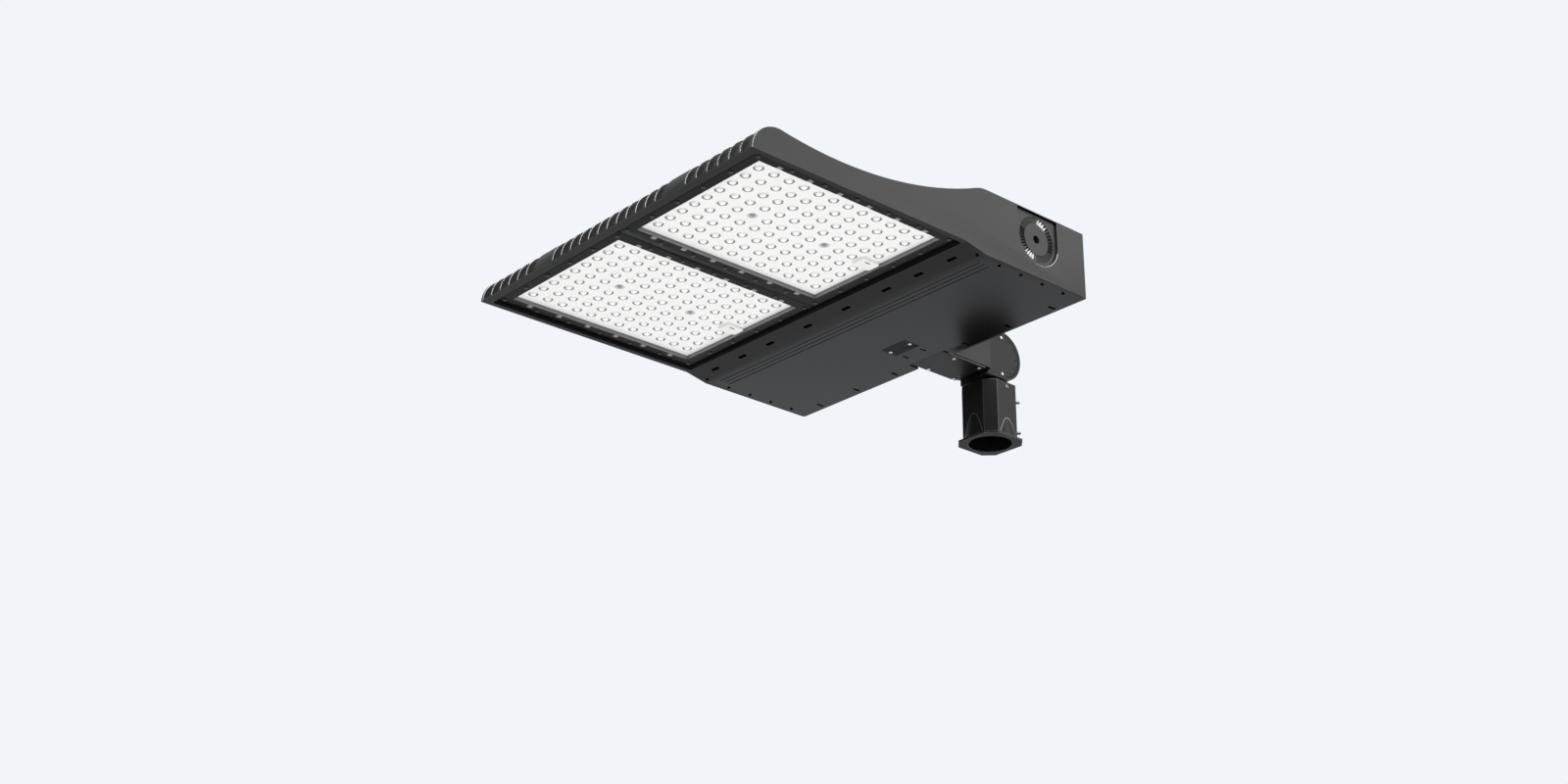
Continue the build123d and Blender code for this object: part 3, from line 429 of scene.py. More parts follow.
# %% [markdown]
# The teeth stand in a ring round the hub's axis. Their flanks that face the light from the front
# and above keep a lighter coat, and the others get painted shade. The pocket's roof and the strip
# above it are painted black as shade.

# %% Teeth and pocket roof
TEETH_RING = (24.5, 36.0)
FACES_SIDE = 0.95
LIT_SIDE_Y = -0.87
LIT_SIDE_Z = 0.5
TURNED_AWAY = -0.06
ROOF_REACH = 40.0
ROOF_LEVEL = HUB_Z + 36.5
ROOF_DEPTHS = (305.2, 308.9)


def on_teeth(centre, normal, rim):
    """The slanted faces of the hub's ring of teeth."""
    return within(from_hub(centre), TEETH_RING) & (np.abs(normal[:, 0]) < FACES_SIDE)


def dull_flank(centre, normal, rim):
    """The flank of each tooth that is turned away from the light, which gets painted shade."""
    towards_light = normal[:, 2] * LIT_SIDE_Z + normal[:, 1] * LIT_SIDE_Y
    return on_teeth(centre, normal, rim) & (towards_light < TURNED_AWAY)


def under_roof(centre, normal, rim):
    """The roof of each hub pocket and the strip above it, which are painted black as shade."""
    near = np.abs(centre[:, 1] - HUB_Y) < ROOF_REACH
    return near & (centre[:, 2] > ROOF_LEVEL) & within(np.abs(centre[:, 0]), ROOF_DEPTHS)


# painted light and shade: a lighter coat on the teeth, black on the flanks turned from the light,
# and black under the roof
repaint(housing, tooth_lit_paint, on_teeth)
repaint(housing, flank_painted_shade, dull_flank)
repaint(housing, black_ink_and_painted_shade, under_roof)

# %% [markdown]
# Round the nose the fins stand on a curved floor, which gets a slightly lighter and more glossy
# coat than the sides as painted light. The rims of the fins there get a light grey coat as a
# painted highlight, and so does the lower rear arc of each pocket's rim.

# %% Nose and worn rims
NOSE_Y = -712.5
NOSE_Z = 114.0
GAP_DEPTHS = (36.0, 40.0)
GAP_SLANT = 0.1
NOSE_REACH = 44.0
RIM_SLANT = (0.2, 0.97)
POCKET_RING = (37.5, 60.0)
ARC_FRONT = HUB_Y - 6.0
ARC_TOP = HUB_Z - 8.0
POCKET_SIDE = 300.0


def nose_gap(centre, normal, rim):
    """The curved floors between the fins, where they run down round the nose."""
    depth = np.hypot(centre[:, 1] - NOSE_Y, centre[:, 2] - NOSE_Z)
    upright = np.abs(normal[:, 0]) < GAP_SLANT
    return ~rim & within(depth, GAP_DEPTHS) & upright & (centre[:, 1] < NOSE_Y)


def nose_rim(centre, normal, rim):
    """The rims that run in an arc round the nose, on the fins and on both side walls."""
    round_nose = (centre[:, 1] < NOSE_Y) & (centre[:, 2] > NOSE_Z - NOSE_REACH)
    return rim & round_nose & within(np.abs(normal[:, 0]), RIM_SLANT)


def pocket_rim(centre, normal, rim):
    """The lower rear arc of each hub pocket's rim, which gets a painted highlight."""
    lower = (centre[:, 2] < ARC_TOP) & (centre[:, 1] > ARC_FRONT)
    side = np.abs(centre[:, 0]) > POCKET_SIDE
    return rim & lower & within(from_hub(centre), POCKET_RING) & side


# painted light between the nose fins, and painted highlights on their rims and the pocket arcs
repaint(housing, gap_painted_light, nose_gap)
repaint(housing, rim_painted_highlight, nose_rim)
repaint(housing, rim_painted_highlight, pocket_rim)

# %% [markdown]
# The driver cover has three long grooves, whose floors and walls are painted black as shade. The
# access plate, the arm and its cover only get eased edges. One lip of the arm is half a
# millimetre thick, too thin for the rounding, and stays sharp.

# %% Cover, access plate and arm
GROOVE_LEVELS = (0.2, 0.85)
GROOVE_PLACES = (-215.0, -180.0)
LIP = (-38.25, 100.75, 1.2)


def in_groove(centre, normal, rim):
    """The floors and walls of the three long grooves, just above the cover's underside."""
    level, place = centre[:, 2] - underside, centre[:, 1] - rear
    return within(level, GROOVE_LEVELS) & within(place, GROOVE_PLACES)


cover = eased("driver_cover", cover_coat, ease=0.25)
# painted shade: the grooves' floors and walls are black
repaint(cover, black_ink_and_painted_shade, in_groove)
eased("access_plate", plate_coat, ease=0.25)
eased("arm", arm_coat, ease=0.3, shortest=3.0, spared=LIP)
eased("arm_cover", arm_coat, ease=0.3)

# %% [markdown]
# The sleeve's flat sides run into a conical foot, along curved seams that are flatter than an
# outer edge. They are rounded too, and the rounding gets a grey metal coat as a painted highlight.

# %% Sleeve
UPRIGHT = 0.01
CONE_SLANT = (0.05, 0.5)
FOOT_HEIGHTS = (8.0, 60.0)
SEAM_SLANT = (0.02, 0.5)


def skirt_seam(edge):
    """Where the sleeve's flat sides run into its conical foot."""
    low, high = sorted(abs(face.normal.z) for face in edge.link_faces)
    return low < UPRIGHT and CONE_SLANT[0] < high < CONE_SLANT[1]


def foot_rim(centre, normal, rim):
    """The curved seams of the sleeve's foot, but not the upright edges between its sides."""
    return rim & within(centre[:, 2], FOOT_HEIGHTS) & within(np.abs(normal[:, 2]), SEAM_SLANT)


sleeve = eased("slip_fitter", sleeve_coat, ease=0.6, seam=skirt_seam)
# painted highlight along the foot's seams
repaint(sleeve, seam_painted_highlight, foot_rim)

# %% Bezels and knuckle discs
for side in ("near", "far"):
    eased(f"bezel_{side}", bezel_plastic, ease=0.3)
    eased(f"dial_cover_{side}", disc_coat, ease=1.1, shortest=2.5, rim=plate_coat)

# %% [markdown]
# ## Surfaces from arrays
#
# The pieces that the construction doesn't have are grids of points worked out at once with
# numpy. A grid has rows, and each row closes on itself, so that its last point joins its first.
# The points are in millimetres until the mesh is made.

# %% Faces of a grid
def grid_faces(rows, columns):
    """Quads of a grid: each joins a point with the next in its row and the same in the next."""
    row, column = np.meshgrid(np.arange(rows - 1), np.arange(columns), indexing="ij")
    after = (column + 1) % columns
    below, above = row * columns, (row + 1) * columns
    quads = np.stack([below + column, below + after, above + after, above + column], -1)
    return quads.reshape(-1, 4).tolist()


def join(*shapes):
    """Several shapes as one list of points and one of faces."""
    points, faces, start = [], [], 0
    for shape_points, shape_faces in shapes:
        points.append(shape_points)
        faces += [[i + start for i in face] for face in shape_faces]
        start += len(shape_points)
    return np.concatenate(points), faces


print("a grid of 3 rows of 6 points has", len(grid_faces(3, 6)), "faces")

# %% A finished piece from points
SMOOTH_ANGLE = 0.6
MERGE_DISTANCE = 0.01


def add_piece(name, points, faces, material, body, slot, stands_for=(), shade=None):
    """A finished piece from points in millimetres, joined where they meet, facing outwards."""
    mesh = bpy.data.meshes.new(name)
    mesh.from_pydata((np.asarray(points) * MM).tolist(), [], faces)
    if shade is not None:
        mesh.attributes.new("shade", "FLOAT", "FACE").data.foreach_set("value", shade)
    shape = bmesh.new()
    shape.from_mesh(mesh)
    bmesh.ops.remove_doubles(shape, verts=shape.verts, dist=MERGE_DISTANCE * MM)
    bmesh.ops.recalc_face_normals(shape, faces=shape.faces)
    shape.to_mesh(mesh)
    shape.free()
    mesh.shade_smooth()
    mesh.set_sharp_from_angle(angle=SMOOTH_ANGLE)
    piece = place_piece(name, mesh, [material], body, stands_for)
    print(name, len(mesh.vertices), "points", len(mesh.polygons), "faces")
    return piece


# %% [markdown]
# ## Lens windows
#
# Each window is one moulding. A wall runs round it inside the black frame, then a bevel leads
# down to the flat field that carries the lenses. A lens is a clear dome that stands in a round
# moat, and the moat's steep side carries painted shade, which shows as a grey crescent on the
# side away from it. The wall, the bevel, the dimples and the tabs carry painted shade too. The
# field is cut into cells, one for each lens: the borders of the cells are shared, so the whole
# window is one closed surface. Two cells hold a dimple for a screw, and the one in the middle of
# the rear end is left flat for the wiring cover.

# %% Borders of the cells
LENS_PITCH = 26.5
LENS_COLUMNS = 9
LENS_ROWS = 12
WINDOW_WIDTH = 260.2
WINDOW_LENGTH = 331.0


def window_centre(side):
    """Middle of a window in plan, from its node's box."""
    low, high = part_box(f"lens_plate_{side}")
    return np.array([(low.x + high.x) / 2 / MM, (low.y + high.y) / 2 / MM])


def borders(half, count):
    """Cell borders across the window: its two sides, and the middles between the lenses."""
    inner = (np.arange(1, count) - count / 2) * LENS_PITCH
    return np.concatenate([[-half], inner, [half]])


def border_ring(half_x, half_y, level):
    """A rectangle with a point at every cell border, anticlockwise, at one level."""
    x, y = borders(half_x, LENS_COLUMNS), borders(half_y, LENS_ROWS)
    low_x, high_x = np.full(len(y) - 1, -half_x), np.full(len(y) - 1, half_x)
    low_y, high_y = np.full(len(x) - 1, -half_y), np.full(len(x) - 1, half_y)
    plan_x = np.concatenate([x[:-1], high_x, x[:0:-1], low_x])
    plan_y = np.concatenate([low_y, y[:-1], high_y, y[:0:-1]])
    return np.column_stack([plan_x, plan_y, np.full(len(plan_x), level)])


print("a window has", LENS_COLUMNS * LENS_ROWS, "cells")

# %% [markdown]
# The moulding without its field is a stack of rings. Each ring is a rectangle with a point at
# every cell border, given by how far it lies outside the window's edge, its level and its painted
# shade.

# %% Wall and bevel of a window
FIELD_THICKNESS = 2.5
BEVEL = 2.2
PLATE_RIM = 5.0
PLATE_SINK = 1.5
field_level = plate_back - FIELD_THICKNESS
plate_level = bezel_level + PLATE_SINK


def window_frame():
    """The moulding without its field: rings up over the back, the rim, the wall and the bevel."""
    half_x, half_y = WINDOW_WIDTH / 2, WINDOW_LENGTH / 2
    bevel_level = field_level - BEVEL
    # the wall and the bevel carry painted shade
    profile = [
        (PLATE_RIM, plate_back, 0.0),
        (PLATE_RIM, plate_level, 0.1),
        (0.0, plate_level, 0.6),
        (0.0, bevel_level, 0.90),
        (-BEVEL, field_level, 0.98),
    ]
    rings = [border_ring(half_x + out, half_y + out, level) for out, level, _ in profile]
    count = len(rings[0])
    faces = grid_faces(len(rings), count)
    shade = np.repeat([tone for _, _, tone in profile[1:]], count)
    faces.append(list(range(count))[::-1])
    return np.concatenate(rings), faces, np.append(shade, 0.0)


print("the wall and bevel have", len(window_frame()[1]), "faces")

# %% [markdown]
# A cell is its rectangle, a circle cut into it, and rings that go down into the moat and up
# over the dome. The rectangle and the circle are joined by four flat faces, one for each side,
# so neighbouring cells meet only at their corners' edges.

# %% One cell
COLUMNS_ROUND = 12
FIRST_CORNER = -0.75 * np.pi
LENS_PROFILE = np.array([(7.8, 0.0), (5.7, -1.9), (4.9, -0.4), (4.3, 0.8), (2.7, 1.8)])
# painted shade on the moat's steep side and in the dimples
LENS_SHADE = (0.88, 0.0, 0.0, 0.0, 0.0)
DIMPLE_PROFILE = np.array([(7.8, 0.0), (6.9, -0.7), (4.4, -1.0)])
DIMPLE_SHADE = (0.55, 0.45, 0.6)
FIELD_SHADE = 0.15


def cell(corners, centre, profile, tones_of_rings):
    """One cell: its rectangle and a turned profile of (radius, height), closed by a flat face."""
    around = np.arange(COLUMNS_ROUND) * 2 * np.pi / COLUMNS_ROUND + FIRST_CORNER
    x = centre[0] + profile[:, :1] * np.cos(around)
    y = centre[1] + profile[:, :1] * np.sin(around)
    z = field_level - np.repeat(profile[:, 1:], COLUMNS_ROUND, axis=1)
    rings = np.stack([x, y, z], -1).reshape(-1, 3)
    points = np.concatenate([corners, rings])
    first, quarter = len(corners), COLUMNS_ROUND // 4
    faces = []
    for k in range(first):
        arc = [first + (k * quarter + i) % COLUMNS_ROUND for i in range(quarter, -1, -1)]
        faces.append([k, (k + 1) % first, *arc])
    bands = grid_faces(len(profile), COLUMNS_ROUND)
    faces += [[i + first for i in face] for face in bands]
    last = first + (len(profile) - 1) * COLUMNS_ROUND
    faces.append(list(range(last, last + COLUMNS_ROUND)))
    rings_shade = np.repeat(tones_of_rings[:-1], COLUMNS_ROUND)
    shade = [np.full(first, FIELD_SHADE), rings_shade, tones_of_rings[-1:]]
    return points, faces, np.concatenate(shade)


# %% The field of cells
MIDDLE_COLUMN = (LENS_COLUMNS - 1) // 2
WIRING_CELL = (MIDDLE_COLUMN, LENS_ROWS - 1)
DIMPLE_ROWS = (3, 8)
DIMPLE_CELLS = [(MIDDLE_COLUMN, row) for row in DIMPLE_ROWS]


def cell_centre(column, row):
    """Centre of a cell's lens, from the middle of the window."""
    return (
        (column - (LENS_COLUMNS - 1) / 2) * LENS_PITCH,
        (row - (LENS_ROWS - 1) / 2) * LENS_PITCH,
    )


def window_field():
    """Every cell of the field, each with its own lens, dimple or flat face."""
    x = borders(WINDOW_WIDTH / 2 - BEVEL, LENS_COLUMNS)
    y = borders(WINDOW_LENGTH / 2 - BEVEL, LENS_ROWS)
    cells = []
    for column in range(LENS_COLUMNS):
        for row in range(LENS_ROWS):
            sides = (x[column], x[column + 1], y[row], y[row + 1])
            corners = np.array([
                (sides[0], sides[2], field_level),
                (sides[1], sides[2], field_level),
                (sides[1], sides[3], field_level),
                (sides[0], sides[3], field_level),
            ])
            place = cell_centre(column, row)
            if (column, row) == WIRING_CELL:
                cells.append((corners, [[0, 1, 2, 3]], np.full(1, FIELD_SHADE)))
            elif (column, row) in DIMPLE_CELLS:
                cells.append(cell(corners, place, DIMPLE_PROFILE, DIMPLE_SHADE))
            else:
                cells.append(cell(corners, place, LENS_PROFILE, LENS_SHADE))
    return cells


print("the field has", sum(len(part[1]) for part in window_field()), "faces")

# %% [markdown]
# Six tabs along each long side hold the window in its frame. A tab is a small block whose lower
# edges are eased, made of rings with a flat face at each end, and copied to its places.

# %% Snap tabs
TAB_COUNT = 6
TAB_PITCH = 53.0
TAB_WIDTH = 8.0
TAB_REACH = 6.0
TAB_FOOT = 0.2
TAB_TURN = 0.6
TAB_EASE = 0.4
# painted shade on the tabs
TAB_SHADE = 0.9


def closed_rings(rings):
    """Points and faces of rings stacked along a path, with a flat face at each end."""
    rows, columns, _ = rings.shape
    faces = grid_faces(rows, columns)
    faces.append(list(range(columns))[::-1])
    faces.append(list(range((rows - 1) * columns, rows * columns)))
    return rings.reshape(-1, 3), faces


def repeat(points, faces, places):
    """The same points and faces moved to each place, joined into one list."""
    places = np.asarray(places, float)
    moved = (places[:, None, :] + points[None, :, :]).reshape(-1, 3)
    count = len(points)
    copies = [[i + k * count for i in face] for k in range(len(places)) for face in faces]
    return moved, copies


def snap_tabs():
    """The tabs that hold the window in its frame: small blocks with eased lower edges."""
    x, y = TAB_REACH / 2, TAB_WIDTH / 2
    square = np.array([(1, 1), (-1, 1), (-1, -1), (1, -1)])
    foot, turn = bezel_level + TAB_FOOT, bezel_level + TAB_TURN
    profile = [(0.0, plate_level), (0.0, turn), (-TAB_EASE, foot)]
    rings = [
        np.column_stack([square * (x + out, y + out), np.full(4, level)])
        for out, level in profile
    ]
    middle = (TAB_COUNT - 1) / 2
    places = [
        (sign * (WINDOW_WIDTH / 2 + x), (i - middle) * TAB_PITCH, 0)
        for sign in (-1, 1)
        for i in range(TAB_COUNT)
    ]
    points, faces = repeat(*closed_rings(np.stack(rings)), places)
    return points, faces, np.full(len(faces), TAB_SHADE)


print("two sides have", 2 * TAB_COUNT, "tabs")

# %% Windows
pieces_of_window = [window_frame(), *window_field(), snap_tabs()]
window_points, window_faces = join(*[part[:2] for part in pieces_of_window])
window_shade = np.concatenate([part[2] for part in pieces_of_window])
for side in ("near", "far"):
    node = f"lens_plate_{side}"
    body = frame["nodes"][node]["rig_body"]
    points = window_points + (*window_centre(side), 0)
    add_piece(
        f"window_{side}", points, window_faces, lens_white, body, "lens_plate", [node],
        shade=window_shade,
    )

# %% [markdown]
# The wiring cover hides the joint between the board and its leads. It is a low rounded block
# with one slot, where the leads go in, drawn as a black block for the shade inside it, and two
# ribs beside it.

# %% A block with rounded corners
CORNER_STEPS = 5


def rounded_rectangle(half_x, half_y, radius):
    """Four corner arcs joined by straight sides, as points in plan, anticlockwise."""
    angle = np.linspace(0, np.pi / 2, CORNER_STEPS)
    corners = []
    for k, (sx, sy) in enumerate(((1, 1), (-1, 1), (-1, -1), (1, -1))):
        x = sx * (half_x - radius) + radius * np.cos(angle + k * np.pi / 2)
        y = sy * (half_y - radius) + radius * np.sin(angle + k * np.pi / 2)
        corners.append(np.stack([x, y], -1))
    return np.concatenate(corners)


def soft_block(size_x, size_y, top, bottom, radius, ease):
    """A block with rounded corners whose lower edge is an eased arc, in two steps."""
    step = 0.3 * ease
    profile = ((0, top), (0, bottom + ease), (-step, bottom + step), (-ease, bottom))
    rings = []
    for out, level in profile:
        plan = rounded_rectangle(size_x / 2 + out, size_y / 2 + out, radius + out)
        rings.append(np.column_stack([plan, np.full(len(plan), level)]))
    return closed_rings(np.stack(rings))


# %% Wiring covers
BLOCK_RISE = 0.4
SLOT_RISE = 0.2
INSIDE = 1.0
BLOCK_CORNER = (5.0, 1.6)
RIB_CORNER = (0.6, 0.3)
SLOT_CORNER = (1.0, 0.2)
RIB_SIZE = (1.4, 14.0)
RIB_PLACES = [(-6.5, -1, 0), (-1.5, -1, 0)]
SLOT_SIZE = (2.2, 10.2)
SLOT_PLACE = (6.5, -3.2, 0)
for side in ("near", "far"):
    node = f"board_connector_{side}"
    low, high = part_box(node)
    body = frame["nodes"][node]["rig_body"]
    middle = ((low.x + high.x) / 2 / MM, (low.y + high.y) / 2 / MM, 0)
    foot = low.z / MM
    size = ((high.x - low.x) / MM, (high.y - low.y) / MM)
    block = soft_block(*size, field_level, foot + BLOCK_RISE, *BLOCK_CORNER)
    rib = soft_block(*RIB_SIZE, foot + INSIDE, foot, *RIB_CORNER)
    points, faces = join(block, repeat(*rib, RIB_PLACES))
    points = points + middle
    add_piece(f"wiring_cover_{side}", points, faces, block_white, body, "connector", [node])
    # painted shade: a black block for the shade inside the slot
    points, faces = soft_block(*SLOT_SIZE, foot + INSIDE, foot + SLOT_RISE, *SLOT_CORNER)
    points = points + middle + SLOT_PLACE
    add_piece(f"wiring_slot_{side}", points, faces, black_plastic_and_painted_shade, body, "connector")

# %% [markdown]
# ## Screws
#
# All screws have pan heads with a hexagon socket. A head is turned from a short profile of radius
# and height, and the rings of the socket are pulled in between the corners, which makes them
# hexagons. The screws in the bezels and at the sides of the cover are dark ones, so they hardly
# show against the coat, those in the windows are grey nylon, and the others are plain steel.

# %% One screw
PAN_HEAD = (2.9, 1.7)
WIDE_HEAD = (4.0, 1.7)
SMALL_HEAD = (2.4, 1.4)
DIAL_HEAD = (2.6, 1.4)
SCREW_COLUMNS = 12
SHANK_RADIUS = 1.5
SOCKET = np.where(np.arange(SCREW_COLUMNS) % 2, np.cos(np.pi / 6), 1.0)


def screw(head_radius, head_height, shank_length):
    """A screw on its seat at z = 0: each ring is radius times (cos, sin), times the socket."""
    profile = np.array([
        (SHANK_RADIUS, -shank_length, 0),
        (SHANK_RADIUS, 0, 0),
        (head_radius, 0, 0),
        (head_radius, 0.5 * head_height, 0),
        (0.84 * head_radius, 0.88 * head_height, 0),
        (0.58 * head_radius, head_height, 0),
        (0.50 * head_radius, head_height, 1),
        (0.46 * head_radius, 0.3 * head_height, 1),
    ])
    around = np.arange(SCREW_COLUMNS) * 2 * np.pi / SCREW_COLUMNS
    factor = np.where(profile[:, 2:] == 1, SOCKET, 1.0)
    x = profile[:, :1] * np.cos(around) * factor
    y = profile[:, :1] * np.sin(around) * factor
    return closed_rings(np.stack([x, y, np.broadcast_to(profile[:, 1:2], x.shape)], -1))


print("a screw has", len(screw(*PAN_HEAD, 6.0)[1]), "faces")

# %% [markdown]
# The screws of a node are one piece. They come in groups that point the same way: each group is
# a screw, its direction and its seats. Upright shanks end where the node's box ends.

# %% Every screw of a node
DOWN = (0, 0, -1)


def turned(points, out):
    """Points turned so that their +Z becomes the direction out."""
    matrix = np.array(Vector((0, 0, 1)).rotation_difference(Vector(out)).to_matrix())
    return points @ matrix.T


def screws(node, groups, material):
    """Every screw of a node: groups of a screw, the way it points out, and its seats."""
    parts = []
    for (points, faces), out, seats in groups:
        parts.append(repeat(turned(points, out), faces, seats))
    body = frame["nodes"][node]["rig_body"]
    add_piece(f"{node}_finished", *join(*parts), material, body, "screws", [node])


def depth_above(node, seat):
    """How far a node's shanks reach above the level of their seats."""
    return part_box(node)[1].z / MM - seat


# %% [markdown]
# Along the edge of a bezel the screws stand at the border places of a grid, six by seven. Two
# nylon screws sit in the dimples of each window.

# %% Screws of the windows
BEZEL_PITCH = (55.3, 58.0)
LAST_COLUMN = 5
LAST_ROW = 6
DIMPLE_DEPTH = 1.0
for side in ("near", "far"):
    node = f"bezel_screws_{side}"
    centre = window_centre(side)
    column, row = np.mgrid[0 : LAST_COLUMN + 1, 0 : LAST_ROW + 1]
    border = (column % LAST_COLUMN == 0) | (row % LAST_ROW == 0)
    x = centre[0] + (column[border] - LAST_COLUMN / 2) * BEZEL_PITCH[0]
    y = centre[1] + (row[border] - LAST_ROW / 2) * BEZEL_PITCH[1]
    seats = np.column_stack([x, y, np.full(len(x), bezel_level)])
    one = screw(*PAN_HEAD, depth_above(node, bezel_level))
    screws(node, [(one, DOWN, seats)], dark_steel)
    node = f"plate_screws_{side}"
    seat = field_level + DIMPLE_DEPTH
    seats = [(*(centre + cell_centre(*place)), seat) for place in DIMPLE_CELLS]
    one = screw(*WIDE_HEAD, depth_above(node, seat))
    screws(node, [(one, DOWN, seats)], screw_nylon)

# %% [markdown]
# Ten screws hold the driver cover, five at each side, and the last of each five sits on the
# slope. Two hold the access plate and four the arm's cover.

# %% Screws of the covers
COVER_SPREAD = 297.0
COVER_SCREW_Y = (-156.5, -201.25, -246.0, -290.75)
COVER_SHANK = 8.0
SLOPE_SCREW = (-335.5, 108.435)
SLOPE_OUT = (0, -0.205, -1)
ACCESS_SPREAD = 21.0
ACCESS_SCREW_Y = -195.5
ACCESS_SEAT = underside + 0.2
ARM_SPREAD = 28.0
ARM_SCREW_Y = (-105.5, -49.5)
one = screw(*SMALL_HEAD, COVER_SHANK)
flat = [(x, y, underside) for x in (-COVER_SPREAD, COVER_SPREAD) for y in COVER_SCREW_Y]
slope = [(x, *SLOPE_SCREW) for x in (-COVER_SPREAD, COVER_SPREAD)]
screws("driver_cover_screws", [(one, DOWN, flat), (one, SLOPE_OUT, slope)], black_ink_and_painted_shade)
one = screw(*PAN_HEAD, depth_above("access_plate_screws", ACCESS_SEAT))
seats = [(x, ACCESS_SCREW_Y, ACCESS_SEAT) for x in (-ACCESS_SPREAD, ACCESS_SPREAD)]
screws("access_plate_screws", [(one, DOWN, seats)], screw_steel)
one = screw(*PAN_HEAD, depth_above("arm_cover_screws", underside))
seats = [(x, y, underside) for x in (-ARM_SPREAD, ARM_SPREAD) for y in ARM_SCREW_Y]
screws("arm_cover_screws", [(one, DOWN, seats)], screw_steel)

# %% Screws of the knuckle
PIVOT_HEIGHT = 142.0
DIAL_SEAT = 30.9
DIAL_SHANK = 6.0
DIAL_SCREW_RADIUS = 31.5
groups = []
for sign in (-1, 1):
    seats = [(sign * DIAL_SEAT, 0, PIVOT_HEIGHT + k * DIAL_SCREW_RADIUS) for k in (-1, 1)]
    groups.append((screw(*DIAL_HEAD, DIAL_SHANK), (sign, 0, 0), seats))
screws("dial_cover_screws", groups, bolt_steel)

# %% [markdown]
# ## Tilt scale and pointer
#
# The near disc of the tilt knuckle carries a printed scale that goes from the lower screw round
# the rear to the upper one, and the sleeve below it has a raised pointer. When the head is
# tilted the disc turns with it, and the pointer tells the angle. The print stands a few
# hundredths of a millimetre proud.

# %% Places and ticks on the disc
DIAL_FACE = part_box("dial_cover_near")[1].x / MM
INK = 0.06
TICK_TURNS = np.radians(np.arange(15, 170, 5))
TICK_RADIUS = 38.0
TICK_WIDTH = 1.3
LONG_TICK = 4.2
SHORT_TICK = 2.8


def on_dial(along, up, turn, radius):
    """Points on the disc: radius outwards from the pivot at a turn from straight down."""
    y = np.sin(turn) * (radius - up) + np.cos(turn) * along
    z = PIVOT_HEIGHT - np.cos(turn) * (radius - up) + np.sin(turn) * along
    return y, z


def tick(turn, length):
    """A thin bar along the radius, from its outer end inwards."""
    along = np.array([-1, 1, 1, -1]) * TICK_WIDTH / 2
    up = np.array([0, 0, 1, 1]) * length
    y, z = on_dial(along, up, turn, TICK_RADIUS)
    rings = [np.column_stack([np.full(4, x), y, z]) for x in (DIAL_FACE - INK, DIAL_FACE + INK)]
    return closed_rings(np.stack(rings))


print("the scale has", len(TICK_TURNS), "ticks")

# %% Numbers
NUMBERS = (30, 60, 90, 120, 150)
NUMBER_SIZE = 4.4
NUMBER_RADIUS = 31.6


def number(value):
    """A printed number of degrees whose foot points outwards, as points and faces."""
    curve = bpy.data.curves.new("number", "FONT")
    curve.body = str(value)
    curve.size = NUMBER_SIZE
    curve.extrude = INK
    curve.align_x = "CENTER"
    curve.align_y = "CENTER"
    holder = bpy.data.objects.new("number", curve)
    bpy.context.scene.collection.objects.link(holder)
    ready = holder.evaluated_get(bpy.context.evaluated_depsgraph_get())
    mesh = bpy.data.meshes.new_from_object(ready)
    points = np.empty(len(mesh.vertices) * 3)
    mesh.vertices.foreach_get("co", points)
    points = points.reshape(-1, 3)
    faces = [list(face.vertices) for face in mesh.polygons]
    bpy.data.objects.remove(holder)
    bpy.data.curves.remove(curve)
    bpy.data.meshes.remove(mesh)
    y, z = on_dial(points[:, 0], points[:, 1], np.radians(value), NUMBER_RADIUS)
    return np.column_stack([DIAL_FACE + points[:, 2], y, z]), faces


parts = [tick(turn, SHORT_TICK if k % 3 else LONG_TICK) for k, turn in enumerate(TICK_TURNS)]
parts += [number(value) for value in NUMBERS]
body = frame["nodes"]["dial_cover_near"]["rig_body"]
add_piece("tilt_scale", *join(*parts), black_ink_and_painted_shade, body, "arm")

# %% Pointer
SLEEVE_FACE = 38.5
POINTER_PLACE = 1.0
POINTER_HALF_WIDTH = 4.4
POINTER_BASE = 84.5
POINTER_APEX = 91.0
POINTER_RINGS = ((-0.2, 1.0), (0.48, 1.0), (0.8, 0.82))


def pointer():
    """A raised triangle on the sleeve, with a smaller upper face."""
    low, high = POINTER_PLACE - POINTER_HALF_WIDTH, POINTER_PLACE + POINTER_HALF_WIDTH
    outline = np.array([(low, POINTER_BASE), (high, POINTER_BASE), (POINTER_PLACE, POINTER_APEX)])
    middle = outline.mean(axis=0)
    rings = []
    for proud, share in POINTER_RINGS:
        plan = middle + (outline - middle) * share
        rings.append(np.column_stack([np.full(3, SLEEVE_FACE + proud), plan]))
    return closed_rings(np.stack(rings))


body = frame["nodes"]["slip_fitter"]["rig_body"]
# The pointer wears the lighter, glossier edge coat, a painted highlight.
add_piece("pointer", *pointer(), edge_highlight_paint, body, "slip_fitter")

# %% [markdown]
# ## Finishes for the rest of the construction
#
# What is hidden inside, or already has its real form in the construction, keeps its node and
# only gets its finish.

# %% Finish the plain nodes
plain_nodes = {
    seal_rubber: ("lens_gasket_near", "lens_gasket_far", "arm_gasket", "arm_cover_gasket"),
    board_white: ("led_board_near", "led_board_far"),
    case_metal: ("led_driver_near", "led_driver_far", "terminal_bracket"),
    screw_steel: ("driver_screws",),
    black_plastic_and_painted_shade: ("surge_protector",),
    block_white: ("terminal_block",),
    bolt_steel: ("arm_bolts", "pivot_bolt", "pivot_nut", "pivot_washers"),
    dark_steel: ("set_screws",),
}
for material, names in plain_nodes.items():
    for node in names:
        mesh = frame["nodes"][node].data
        mesh.materials.clear()
        mesh.materials.append(material)
print(sum(len(names) for names in plain_nodes.values()), "nodes keep their own form")

# %% [markdown]
# ## Floor, light and camera
#
# The light hangs from nothing here, so the pale floor lies well below it, out to where it meets
# the sky. What looks straight at floor or sky, or sees them in metal or through plastic, has to
# find one pale tone, while the pieces have to be lit by less. So both have two shaders, and the
# kind of ray chooses between them. The floor keeps a share of its lit shader for the eye, so
# that the shadow stays on it.

